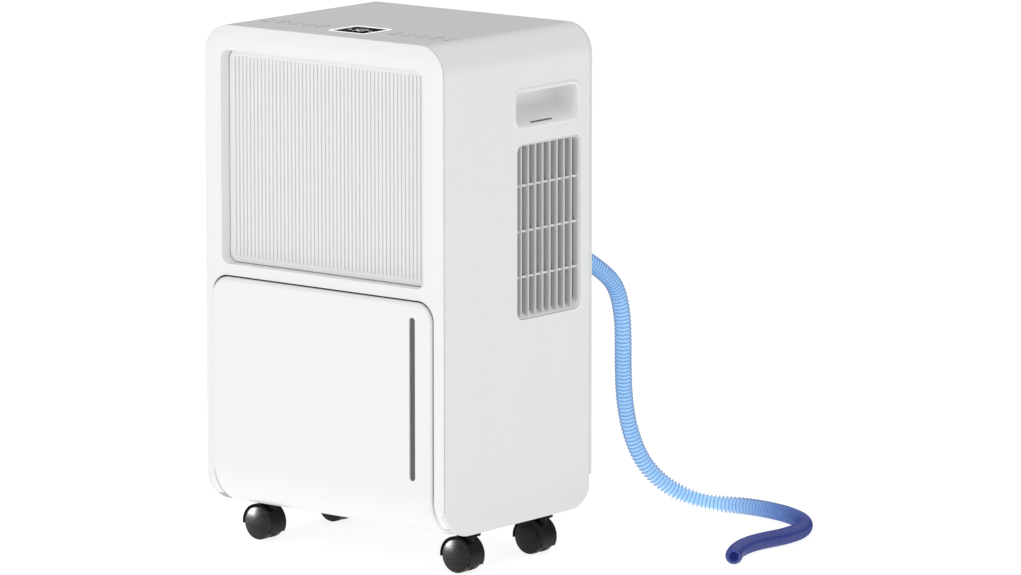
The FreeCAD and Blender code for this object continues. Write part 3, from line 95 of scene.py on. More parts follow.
class Wire:
    """An output socket that adds Math nodes when it is used in arithmetic."""

    def __init__(self, sheet: "NodeSheet", socket: bpy.types.NodeSocket) -> None:
        """Keeps the socket and the sheet that it belongs to."""
        self.sheet = sheet
        self.socket = socket

    def maths(self, operation: str, *others: Number, flip: bool = False) -> "Wire":
        """Adds one Math node that works on this value.

        Args:
            operation: Blender's name for the operation.
            others: The other values.
            flip: Whether this value comes after the others.

        Returns:
            The node's result.
        """
        values = (*others, self) if flip else (self, *others)
        return self.sheet.add("ShaderNodeMath", {"operation": operation}, dict(enumerate(values)))

    def __add__(self, other: Number) -> "Wire":
        """Adds."""
        return self.maths("ADD", other)

    __radd__ = __add__

    def __sub__(self, other: Number) -> "Wire":
        """Subtracts."""
        return self.maths("SUBTRACT", other)

    def __rsub__(self, other: Number) -> "Wire":
        """Subtracts this from another value."""
        return self.maths("SUBTRACT", other, flip=True)

    def __mul__(self, other: Number) -> "Wire":
        """Multiplies."""
        return self.maths("MULTIPLY", other)

    __rmul__ = __mul__

    def __truediv__(self, other: Number) -> "Wire":
        """Divides."""
        return self.maths("DIVIDE", other)

    def __pow__(self, other: Number) -> "Wire":
        """Raises to a power."""
        return self.maths("POWER", other)

    def __gt__(self, other: Number) -> "Wire":
        """Gives 1 where this is greater, else 0."""
        return self.maths("GREATER_THAN", other)

    def clamped(self) -> "Wire":
        """Holds the value between 0 and 1."""
        return self.maths("MINIMUM", 1.0).maths("MAXIMUM", 0.0)


class NodeSheet:
    """A shader or geometry node tree that grows by one method."""

    def __init__(self, tree: bpy.types.NodeTree) -> None:
        """Empties the tree and keeps it."""
        self.tree = tree
        tree.nodes.clear()

    def add(
        self,
        kind: str,
        settings: Optional[dict[str, Any]] = None,
        inputs: Optional[dict[Any, Any]] = None,
        output: Union[int, str] = 0,
    ) -> Wire:
        """Adds a node.

        Args:
            kind: The node's type name.
            settings: Its properties; "stops" are a colour ramp's places and colours.
            inputs: Values or wires by the input's name or number.
            output: The name or number of the output that is wanted.

        Returns:
            That output as a wire.
        """
        node = self.tree.nodes.new(kind)
        for name, value in (settings or {}).items():
            if name == "stops":
                self.set_stops(node, value)
            else:
                setattr(node, name, value)
        for key, value in (inputs or {}).items():
            if isinstance(value, Wire):
                self.tree.links.new(value.socket, node.inputs[key])
            else:
                node.inputs[key].default_value = value
        outputs = [socket for socket in node.outputs if socket.enabled] or list(node.outputs)
        if not outputs:
            return Wire(self, None)
        return Wire(self, node.outputs[output] if isinstance(output, str) else outputs[output])

    @staticmethod
    def set_stops(node: bpy.types.Node, stops: Sequence[tuple[float, Colour]]) -> None:
        """Gives a colour ramp its places and colours.

        Args:
            node: The colour ramp.
            stops: Its places and colours in order.
        """
        elements = node.color_ramp.elements
        while len(elements) < len(stops):
            elements.new(1.0)
        for element, (place, colour) in zip(elements, stops):
            element.position = place
            element.color = colour


class SurfaceSheet(NodeSheet):
    """The node tree of one material, with the patterns that finishes share."""

    MIX_FIRST = 6
    MIX_SECOND = 7
    MIX_RESULT = 2

    def __init__(self, name: str) -> None:
        """Makes the material and finds a point's place in the object's own metres.

        Args:
            name: The material's name.
        """
        self.material = bpy.data.materials.new(name)
        self.material.use_nodes = True
        super().__init__(self.material.node_tree)
        self.place = self.add("ShaderNodeTexCoord", output="Object")

    def noise(self, scale: float, detail: float = 3.0, stretch: Sequence[float] = (1, 1, 1)) -> Wire:
        """Gives a soft noise from 0 to 1.

        Args:
            scale: Its number of features to the metre.
            detail: Its number of octaves.
            stretch: How much finer it is along each axis.

        Returns:
            The noise.
        """
        spot = self.add("ShaderNodeMapping", inputs={"Vector": self.place, "Scale": stretch})
        return self.add("ShaderNodeTexNoise", inputs={"Vector": spot, "Scale": scale, "Detail": detail})

    def height(self) -> Wire:
        """Gives a point's height over the floor in metres."""
        return self.add("ShaderNodeSeparateXYZ", inputs={0: self.place}, output="Z")

    def blend(self, factor: Number, first: Any, second: Any) -> Wire:
        """Mixes two colours.

        Args:
            factor: The share of the second colour.
            first: A colour or a wire.
            second: A colour or a wire.

        Returns:
            The mixed colour.
        """
        node = self.tree.nodes.new("ShaderNodeMix")
        node.data_type = "RGBA"
        for key, value in (("Factor", factor), (self.MIX_FIRST, first), (self.MIX_SECOND, second)):
            if isinstance(value, Wire):
                self.tree.links.new(value.socket, node.inputs[key])
            else:
                node.inputs[key].default_value = value
        return Wire(self, node.outputs[self.MIX_RESULT])

    def bump(self, height: Wire, strength: float, distance: float) -> Wire:
        """Gives a normal that a height bends."""
        return self.add("ShaderNodeBump",
                        inputs={"Height": height, "Strength": strength, "Distance": distance})

    def finish(self, **sockets: Any) -> bpy.types.Material:
        """Ends the tree in one Principled shader.

        Args:
            sockets: Its inputs, with an underscore for each space.

        Returns:
            The finished material.
        """
        inputs = {name.replace("_", " "): value for name, value in sockets.items()}
        shader = self.add("ShaderNodeBsdfPrincipled", inputs=inputs)
        self.add("ShaderNodeOutputMaterial", inputs={"Surface": shader})
        return self.material


# ---------------------------------------------------------------- finishes

@dataclass(frozen=True)
class MouldedPlastic:
    """Injection-moulded plastic: fine grain, faint flow marks and a little dust near the floor."""

    name: str
    colour: Colour
    roughness: float = 0.34
    coat: float = 0.0
    grain: float = 0.05
    dust: float = 0.05
    shine: float = 0.45
    flow_tone: float = 0.955
    dust_height: float = 0.09
    dust_colour: Colour = screen(150, 144, 134)

    def make(self) -> bpy.types.Material:
        """Makes the material.

        Returns:
            The material.
        """
        sheet = SurfaceSheet(self.name)
        flow = sheet.noise(scale=7.0, detail=2.0, stretch=(1, 1, 0.3))
        grain = sheet.noise(scale=2600.0, detail=2.0)
        scuff = sheet.noise(scale=90.0, detail=5.0, stretch=(1, 1, 3))
        low = (1 - sheet.height() / self.dust_height).clamped() ** 2.0
        dusty = low * scuff * self.dust
        base = sheet.blend((flow - 0.35) * 0.8, self.colour, shaded(self.colour, self.flow_tone))
        base = sheet.blend(dusty, base, self.dust_colour)
        rough = self.roughness + (scuff - 0.5) * 0.09 + dusty * 0.4
        return sheet.finish(
            Base_Color=base, Roughness=rough, Coat_Weight=self.coat, Coat_Roughness=0.08,
            Normal=sheet.bump(grain, strength=self.grain, distance=0.0002), Specular_IOR_Level=self.shine,
        )


@dataclass(frozen=True)
class DisplayGlass:
    """Black glass with faint wiping marks."""

    name: str
    colour: Colour
    shine: float = 0.01
    smear_colour: Colour = screen(60, 61, 64)

    def make(self) -> bpy.types.Material:
        """Makes the material.

        Returns:
            The material.
        """
        sheet = SurfaceSheet(self.name)
        smear = sheet.noise(scale=70.0, detail=4.0, stretch=(1, 4, 1))
        return sheet.finish(
            Base_Color=sheet.blend(smear * 0.1, self.colour, self.smear_colour),
            Roughness=0.3 + smear * 0.12, Specular_IOR_Level=self.shine,
        )


@dataclass(frozen=True)
class Glow:
    """A lit mark that shines evenly through glass; on the display's outline the glow is painted light, as the
    outline is no lamp.
    """

    name: str
    colour: Colour
    strength: float
    dim_tone: float = 0.85

    def make(self) -> bpy.types.Material:
        """Makes the material.

        Returns:
            The material.
        """
        sheet = SurfaceSheet(self.name)
        flicker = sheet.noise(scale=900.0, detail=1.0)
        lit = sheet.blend(flicker * 0.25, self.colour, shaded(self.colour, self.dim_tone))
        return sheet.finish(Base_Color=lit, Roughness=0.4 + flicker * 0.1, Emission_Color=lit,
                            Emission_Strength=self.strength)


@dataclass(frozen=True)
class ClearPlastic:
    """Thin milky plastic that lets light through, with mould lines and water marks."""

    name: str
    colour: Colour
    transmission: float
    lime_colour: Colour = screen(222, 226, 226)

    def make(self) -> bpy.types.Material:
        """Makes the material.

        Returns:
            The material.
        """
        sheet = SurfaceSheet(self.name)
        marks = sheet.noise(scale=45.0, detail=5.0)
        ripple = sheet.noise(scale=16.0, detail=2.0, stretch=(1, 1, 4))
        limed = (marks - 0.45).clamped() * 0.8
        return sheet.finish(
            Base_Color=sheet.blend(limed, self.colour, self.lime_colour),
            Roughness=0.16 + limed * 0.5, Transmission_Weight=self.transmission, IOR=1.45,
            Normal=sheet.bump(ripple, strength=0.08, distance=0.002),
        )


@dataclass(frozen=True)
class RolledSteel:
    """Zinc-coated sheet with a spangle, or plain drawn metal without one."""

    name: str
    colour: Colour
    spangle: float = 0.5
    roughness: float = 0.38
    bright_tone: float = 1.2

    def make(self) -> bpy.types.Material:
        """Makes the material.

        Returns:
            The material.
        """
        sheet = SurfaceSheet(self.name)
        cells = sheet.add("ShaderNodeTexVoronoi", {"feature": "F1"}, {"Vector": sheet.place, "Scale": 130.0},
                          output="Color")
        facet = sheet.add("ShaderNodeSeparateColor", inputs={0: cells}, output="Red")
        streak = sheet.noise(scale=300.0, detail=3.0, stretch=(1, 1, 0.04))
        bright = shaded(self.colour, self.bright_tone)
        return sheet.finish(
            Base_Color=sheet.blend(facet * self.spangle, self.colour, bright), Metallic=1.0,
            Roughness=self.roughness + (facet - 0.5) * 0.2 * self.spangle + (streak - 0.5) * 0.14,
            Normal=sheet.bump(streak, strength=0.06, distance=0.0002),
        )


@dataclass(frozen=True)
class PaintedMetal:
    """Thick paint on steel, with orange peel and a few rubs down to primer."""

    name: str
    colour: Colour
    primer: Colour = screen(70, 68, 66)

    def make(self) -> bpy.types.Material:
        """Makes the material.

        Returns:
            The material.
        """
        sheet = SurfaceSheet(self.name)
        peel = sheet.noise(scale=700.0, detail=2.0)
        rubs = ((sheet.noise(scale=60.0, detail=6.0) - 0.62) * 9.0).clamped()
        return sheet.finish(
            Base_Color=sheet.blend(rubs * 0.5, self.colour, self.primer),
            Roughness=0.32 + peel * 0.12 + rubs * 0.2, Coat_Weight=0.4,
            Normal=sheet.bump(peel, strength=0.15, distance=0.0003),
        )


@dataclass(frozen=True)
class SoftRubber:
    """Matt black rubber with a bloom."""

    name: str
    colour: Colour
    bloom_colour: Colour = screen(58, 57, 56)

    def make(self) -> bpy.types.Material:
        """Makes the material.

        Returns:
            The material.
        """
        sheet = SurfaceSheet(self.name)
        bloom = sheet.noise(scale=120.0, detail=5.0)
        return sheet.finish(
            Base_Color=sheet.blend(bloom * 0.4, self.colour, self.bloom_colour),
            Roughness=0.62 + bloom * 0.25,
            Normal=sheet.bump(sheet.noise(scale=1800.0), strength=0.2, distance=0.0002),
        )


@dataclass(frozen=True)
class FinnedMetal:
    """Thin aluminium fins, or a fine mesh, drawn as close lines with painted shade in the gaps between them.
    """

    name: str
    colour: Colour
    dark: Colour
    pitch: float
    crossed: bool = False

    def lines(self, place: Wire) -> Wire:
        """Gives even lines from 0 to 1 along one coordinate."""
        return (place * (math.tau / self.pitch)).maths("SINE") * 0.5 + 0.5

    def make(self) -> bpy.types.Material:
        """Makes the material.

        Returns:
            The material.
        """
        sheet = SurfaceSheet(self.name)
        line = self.lines(sheet.add("ShaderNodeSeparateXYZ", inputs={0: sheet.place}, output="X"))
        if self.crossed:
            line = (line * self.lines(sheet.height())).clamped()
        mottle = sheet.noise(scale=60.0, detail=4.0)
        # The dark tone between the lines is painted shade in the gaps.
        return sheet.finish(
            Base_Color=sheet.blend((line * 0.7 + mottle * 0.3), self.dark, self.colour),
            Metallic=0.0 if self.crossed else 0.7, Roughness=0.35 + mottle * 0.25,
            Normal=sheet.bump(line, strength=0.4, distance=0.0004),
        )


@dataclass(frozen=True)
class PrintedBoard:
    """Green solder mask with copper tracks under it."""

    name: str
    colour: Colour
    track_colour: Colour = screen(60, 130, 70)

    def make(self) -> bpy.types.Material:
        """Makes the material.

        Returns:
            The material.
        """
        sheet = SurfaceSheet(self.name)
        tracks = sheet.add("ShaderNodeTexBrick", inputs={
            "Vector": sheet.place, "Scale": 180.0, "Color1": grey(0.0), "Color2": grey(0.2),
            "Mortar": grey(1.0), "Mortar Size": 0.03}, output="Fac")
        return sheet.finish(
            Base_Color=sheet.blend(tracks * 0.6, self.colour, self.track_colour),
            Roughness=0.3 + sheet.noise(scale=400.0) * 0.2,
            Normal=sheet.bump(tracks, strength=0.2, distance=0.0002),
        )


@dataclass(frozen=True)
class TintedHose:
    """Clear blue plastic, darker blue towards the open end, with painted shade at the tips of the ribs and a
    faint painted glow all over.
    """

    name: str
    pale: Colour
    middle: Colour
    deep: Colour
    tip: Colour

    def make(self) -> bpy.types.Material:
        """Makes the material.

        Returns:
            The material.
        """
        sheet = SurfaceSheet(self.name)
        along = sheet.add("ShaderNodeAttribute", {"attribute_name": "along"}, output="Fac")
        rise = sheet.add("ShaderNodeAttribute", {"attribute_name": "rise"}, output="Fac")
        body = sheet.add("ShaderNodeValToRGB", {"stops": [
            (0.0, self.pale), (0.55, self.pale), (0.66, self.middle), (0.76, self.deep),
        ]}, {"Fac": along}, output="Color")
        # Painted shade at the rib tips, where the clear wall is seen edge-on.
        ribs = sheet.add("ShaderNodeValToRGB", {"stops": [
            (0.0, self.tip), (0.6, self.tip), (0.74, self.deep),
        ]}, {"Fac": along}, output="Color")
        streak = sheet.noise(scale=160.0, detail=3.0, stretch=(1, 1, 0.3))
        base = sheet.blend(rise * 0.75, body, ribs)
        # The emission is a painted glow, as the hose is no lamp.
        return sheet.finish(
            Base_Color=base, Roughness=0.08 + streak * 0.12, Transmission_Weight=0.3, IOR=1.35,
            Emission_Color=base, Emission_Strength=0.28, Coat_Weight=0.6, Coat_Roughness=0.05,
        )


@dataclass(frozen=True)
class StudioPaper:
    """Pale seamless paper with a faint tooth that glows a little, so that it stays near white."""

    name: str
    colour: Colour
    glow: float

    def make(self) -> bpy.types.Material:
        """Makes the material.

        Returns:
            The material.
        """
        sheet = SurfaceSheet(self.name)
        tooth = sheet.noise(scale=300.0, detail=2.0)
        return sheet.finish(
            Base_Color=self.colour, Roughness=0.85 + tooth * 0.1, Emission_Color=grey(1.0),
            Emission_Strength=self.glow, Specular_IOR_Level=0.1,
            Normal=sheet.bump(tooth, strength=0.02, distance=0.0005),
        )


class Finish(Enum):
    """Every finish of the machine."""

    WHITE_GLOSS = MouldedPlastic("white_gloss", screen(241, 242, 242), roughness=0.3, coat=0.15)
    REAR_WHITE = MouldedPlastic("rear_white", screen(236, 238, 237), roughness=0.42)
    GRILLE_WHITE = MouldedPlastic("grille_white", screen(234, 235, 235), roughness=0.38)
    # The slats' grey is the white plastic darkened: painted shade deep in the outlet.
    SHADED_VENT_WHITE = MouldedPlastic("vent_grey", screen(214, 215, 214), roughness=0.42)
    # A dark grey plate that stands for the shade inside the machine behind the slats: painted shade.
    SHADE_PLATE_GREY = MouldedPlastic("shade_plate_grey", screen(104, 104, 104), roughness=0.6)
    GREY_PLASTIC = MouldedPlastic("grey_plastic", screen(168, 170, 171), roughness=0.45)
    CUFF_GREY = MouldedPlastic("cuff_grey", screen(196, 203, 210), roughness=0.35)
    FAN_WHITE = MouldedPlastic("fan_white", screen(225, 226, 222), roughness=0.4)
    FLOAT_WHITE = MouldedPlastic("float_white", screen(232, 233, 230), roughness=0.5)
    CASTER_BLACK = MouldedPlastic("caster_black", screen(8, 8, 9),
                                  roughness=0.3, coat=0.0, grain=0.01, dust=0.1, shine=0.12)
    CAP_BLACK = MouldedPlastic("cap_black", screen(8, 8, 9),
                               roughness=0.24, coat=0.0, grain=0.01, dust=0.05, shine=0.2)
    TREAD_BLACK = MouldedPlastic("tread_black", screen(16, 16, 17),
                                 roughness=0.4, coat=0.0, grain=0.05, dust=0.3, shine=0.12)
    KEY_PRINT = MouldedPlastic("key_print", screen(168, 166, 168), roughness=0.4)
    LENS_BLACK = DisplayGlass("lens_black", screen(6, 6, 8))
    WINDOW_DARK = DisplayGlass("window_dark", screen(104, 105, 107))
    DIGIT_WHITE = Glow("digit_white", screen(236, 240, 246), strength=0.6)
    # The outline glows though it is no lamp: painted light round the display glass.
    OUTLINE_PAINTED_GLOW = Glow("outline_painted_glow", screen(252, 252, 252), strength=0.6)
    TANK_CLEAR = ClearPlastic("tank_clear", screen(205, 214, 220), transmission=0.55)
    STEEL = RolledSteel("steel", screen(176, 178, 182), spangle=0.1, roughness=0.28)
    GALVANISED = RolledSteel("galvanised", screen(168, 172, 176), spangle=0.7, roughness=0.42)
    COPPER = RolledSteel("copper", screen(205, 128, 92), spangle=0.15, roughness=0.3)
    POT_BLACK = PaintedMetal("pot_black", screen(24, 24, 26))
    RUBBER = SoftRubber("rubber", screen(27, 27, 28))
    # dark is painted shade in the gaps between fins and between the mesh's threads.
    ALUMINIUM = FinnedMetal("aluminium", screen(205, 208, 210), dark=screen(120, 124, 128), pitch=0.0019)
    FILTER_MESH = FinnedMetal("filter_mesh", screen(244, 244, 245), dark=screen(216, 217, 218), pitch=0.0012,
                              crossed=True)
    BOARD_GREEN = PrintedBoard("board_green", screen(24, 78, 42))
    # tip is painted shade at the rib tips; the hose's emission is a painted glow.
    HOSE_BLUE = TintedHose("hose_blue", pale=screen(176, 218, 248), middle=screen(104, 144, 204),
                           deep=screen(52, 66, 140), tip=screen(46, 80, 152))


class FinishShelf:
    """Makes each material once and hands it out."""

    def __init__(self) -> None:
        """Starts with an empty shelf."""
        self.made: dict[Finish, bpy.types.Material] = {}

    def take(self, finish: Finish) -> bpy.types.Material:
        """Gives the material of a finish."""
        if finish not in self.made:
            self.made[finish] = finish.value.make()
        return self.made[finish]

    def dress(self, piece: bpy.types.Object, finish: Finish) -> bpy.types.Object:
        """Gives a piece one finish all over.

        Args:
            piece: The object.
            finish: Its finish.

        Returns:
            The piece.
        """
        slots = piece.data.materials
        if slots:
            for index in range(len(slots)):
                slots[index] = self.take(finish)
        else:
            slots.append(self.take(finish))
        return piece


SHELF = FinishShelf()


# ---------------------------------------------------------------- meshes

def link(name: str, mesh: bpy.types.ID) -> bpy.types.Object:
    """Puts data into the scene as an object at the origin.

    Args:
        name: The object's name.
        mesh: A mesh, a curve, a camera or a light.

    Returns:
        The object.
    """
    piece = bpy.data.objects.new(name, mesh)
    bpy.context.scene.collection.objects.link(piece)
    return piece


def mark_sharp(sculpt: bmesh.types.BMesh, limit: float) -> None:
    """Shades a mesh smooth, except over its open and its sharp edges.

    Args:
        sculpt: The mesh in progress.
        limit: The turn, in degrees, past which an edge stays crisp.
    """
    for face in sculpt.faces:
        face.smooth = True
    for edge in sculpt.edges:
        edge.smooth = len(edge.link_faces) == 2 and edge.calc_face_angle(0.0) < math.radians(limit)


def to_piece(name: str, sculpt: bmesh.types.BMesh, sharp: float = 35.0) -> bpy.types.Object:
    """Turns a finished sculpt into an object.

    Args:
        name: The piece's name.
        sculpt: The mesh in progress, which is freed.
        sharp: The turn, in degrees, past which an edge stays crisp.

    Returns:
        The object.
    """
    bmesh.ops.remove_doubles(sculpt, verts=sculpt.verts, dist=TINY)
    bmesh.ops.recalc_face_normals(sculpt, faces=sculpt.faces)
    mark_sharp(sculpt, sharp)
    mesh = bpy.data.meshes.new(name)
    sculpt.to_mesh(mesh)
    sculpt.free()
    return link(name, mesh)


def settle(piece: bpy.types.Object) -> bpy.types.Object:
    """Applies a piece's modifiers.

    Args:
        piece: The object, which is removed.

    Returns:
        The plain result under the same name.
    """
    bpy.context.view_layer.update()
    graph = bpy.context.evaluated_depsgraph_get()
    mesh = bpy.data.meshes.new_from_object(piece.evaluated_get(graph))
    name = piece.name
    bpy.data.objects.remove(piece)
    mesh.name = name
    return link(name, mesh)


def round_edges(
    piece: bpy.types.Object, width: float, segments: int = 2, limit: float = SHARP_TURN,
) -> bpy.types.Object:
    """Rounds a piece's sharp edges and evens its shading.

    Args:
        piece: The object.
        width: The rounding's width in metres.
        segments: Its number of steps.
        limit: The turn, in degrees, past which an edge is rounded.

    Returns:
        The plain result.
    """
    bevel = piece.modifiers.new("rounding", "BEVEL")
    bevel.width = width
    bevel.segments = segments
    bevel.limit_method = "ANGLE"
    bevel.angle_limit = math.radians(limit)
    bevel.miter_outer = "MITER_ARC"
    weighted = piece.modifiers.new("shading", "WEIGHTED_NORMAL")
    weighted.keep_sharp = True
    return settle(piece)


def soft_copy(node: str, name: str, width: float, segments: int = 2) -> bpy.types.Object:
    """Copies a CAD node as joined faces with rounded edges.

    Args:
        node: The CAD node.
        name: The piece's name.
        width: The rounding's width in metres.
        segments: Its number of steps.

    Returns:
        The piece.
    """
    sculpt = bmesh.new()
    sculpt.from_mesh(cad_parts[node].data)
    bmesh.ops.remove_doubles(sculpt, verts=sculpt.verts, dist=2 * TINY)
    bmesh.ops.dissolve_limit(
        sculpt, angle_limit=math.radians(FLAT_TURN), verts=sculpt.verts, edges=sculpt.edges)
    for face in sculpt.faces:
        face.smooth = True
    for edge in sculpt.edges:
        edge.smooth = edge.calc_face_angle(0.0) < math.radians(SHARP_TURN)
    mesh = bpy.data.meshes.new(name)
    sculpt.to_mesh(mesh)
    sculpt.free()
    return round_edges(link(name, mesh), width, segments)


def rounded_loop(
    left: float, right: float, low: float, high: float, radius: float, steps: int = 6,
) -> list[tuple[float, float]]:
    """Gives the points of a rounded rectangle, anticlockwise.

    Args:
        left: Its lowest first coordinate.
        right: Its highest first coordinate.
        low: Its lowest second coordinate.
        high: Its highest second coordinate.
        radius: The corner radius.
        steps: The number of steps round each corner.

    Returns:
        Pairs of coordinates, the same number for any size.
    """
    radius = max(TINY, min(radius, (right - left) / 2 - TINY, (high - low) / 2 - TINY))
    corners = ((right - radius, low + radius, -90), (right - radius, high - radius, 0),
               (left + radius, high - radius, 90), (left + radius, low + radius, 180))
    points = []
    for centre_a, centre_b, start in corners:
        for step in range(steps + 1):
            angle = math.radians(start + 90 * step / steps)
            points.append((centre_a + radius * math.cos(angle), centre_b + radius * math.sin(angle)))
    return points


def loft(
    sculpt: bmesh.types.BMesh, rings: Sequence[Sequence[Vector]], closed: bool = False, caps: bool = True,
) -> None:
    """Joins rings of points in order with faces.

    Args:
        sculpt: The mesh in progress.
        rings: Rings with the same number of points.
        closed: Whether the last ring joins the first.
        caps: Whether the first and last rings are filled.
    """
    made = [[sculpt.verts.new(point) for point in ring] for ring in rings]
    pairs = list(zip(made, made[1:]))
    if closed:
        pairs.append((made[-1], made[0]))
    for lower, upper in pairs:
        for index in range(len(lower)):
            onward = (index + 1) % len(lower)
            sculpt.faces.new((lower[index], lower[onward], upper[onward], upper[index]))
    if caps and not closed:
        sculpt.faces.new(list(reversed(made[0])))
        sculpt.faces.new(made[-1])


def lathe(
    sculpt: bmesh.types.BMesh, profile: Sequence[tuple[float, float]], centre: Vector, steps: int,
    closed: bool = False,
) -> None:
    """Turns a profile about an axis along Y.

    Args:
        sculpt: The mesh in progress.
        profile: Pairs of radius and Y, in order.
        centre: The axis point whose Y is zero in the profile.
        steps: The number of steps round the axis.
        closed: Whether the profile's last point joins its first.
    """
    rings = []
    for radius, shift in profile:
        ring = []
        for step in range(steps):
            angle = math.tau * step / steps
            ring.append(centre + Vector((radius * math.cos(angle), shift, radius * math.sin(angle))))
        rings.append(ring)
    loft(sculpt, rings, closed)


def block(sculpt: bmesh.types.BMesh, low: Sequence[float], high: Sequence[float]) -> None:
    """Adds a block, for pieces whose edges are rounded later.

    Args:
        sculpt: The mesh in progress.
        low: Its lowest corner.
        high: Its highest corner.
    """
    middle = [(a + b) / 2 for a, b in zip(low, high)]
    size = [b - a for a, b in zip(low, high)]
    matrix = Matrix.Translation(middle) @ Matrix.Diagonal((*size, 1.0))
    bmesh.ops.create_cube(sculpt, size=1.0, matrix=matrix)


# ---------------------------------------------------------------- geometry trees

class RowTree:
    """Geometry nodes that set one rounded bar after another along a line.

    The named inputs are the bar's size, the first bar's middle, the step between bars and their number.
    """

    def __init__(self, name: str, material: bpy.types.Material) -> None:
        """Builds the tree.

        Args:
            name: The tree's name.
            material: The finish of the bars.
        """
        self.tree = bpy.data.node_groups.new(name, "GeometryNodeTree")
        sheet = NodeSheet(self.tree)
        face = self.tree.interface
        face.new_socket("Geometry", in_out="OUTPUT", socket_type="NodeSocketGeometry")
        self.sockets = {
            label: face.new_socket(label, in_out="INPUT", socket_type=kind).identifier
            for label, kind in (("Bar", "NodeSocketVector"), ("First", "NodeSocketVector"),
                                ("Step", "NodeSocketVector"), ("Count", "NodeSocketInt"))
        }
        given = self.tree.nodes.new("NodeGroupInput")
        bar, first, step, count = (Wire(sheet, given.outputs[label]) for label in self.sockets)
        line = sheet.add("GeometryNodeMeshLine", {"mode": "OFFSET"},
                         {"Count": count, "Start Location": first, "Offset": step})
        cube = sheet.add("GeometryNodeMeshCube", inputs={"Size": bar})
        rows = sheet.add("GeometryNodeInstanceOnPoints", inputs={"Points": line, "Instance": cube})
        real = sheet.add("GeometryNodeRealizeInstances", inputs={0: rows})
        done = sheet.add("GeometryNodeSetMaterial", inputs={0: real, "Material": material})
        result = self.tree.nodes.new("NodeGroupOutput")
        self.tree.links.new(done.socket, result.inputs[0])

    def grow(
        self, name: str, bar: Sequence[float], first: Sequence[float], step: Sequence[float], count: int,
        rounding: float,
    ) -> bpy.types.Object:
        """Makes one row of bars as a plain mesh.

        Args:
            name: The piece's name.
            bar: The size of a bar.
            first: The middle of the first bar.
            step: The way from one bar to the next.
            count: The number of bars.
            rounding: The width of the rounding on their edges.

        Returns:
            The row.
        """
        piece = link(name, bpy.data.meshes.new(name))
        modifier = piece.modifiers.new("row", "NODES")
        modifier.node_group = self.tree
        for label, value in (("Bar", bar), ("First", first), ("Step", step), ("Count", count)):
            modifier[self.sockets[label]] = value
        return round_edges(settle(piece), rounding)


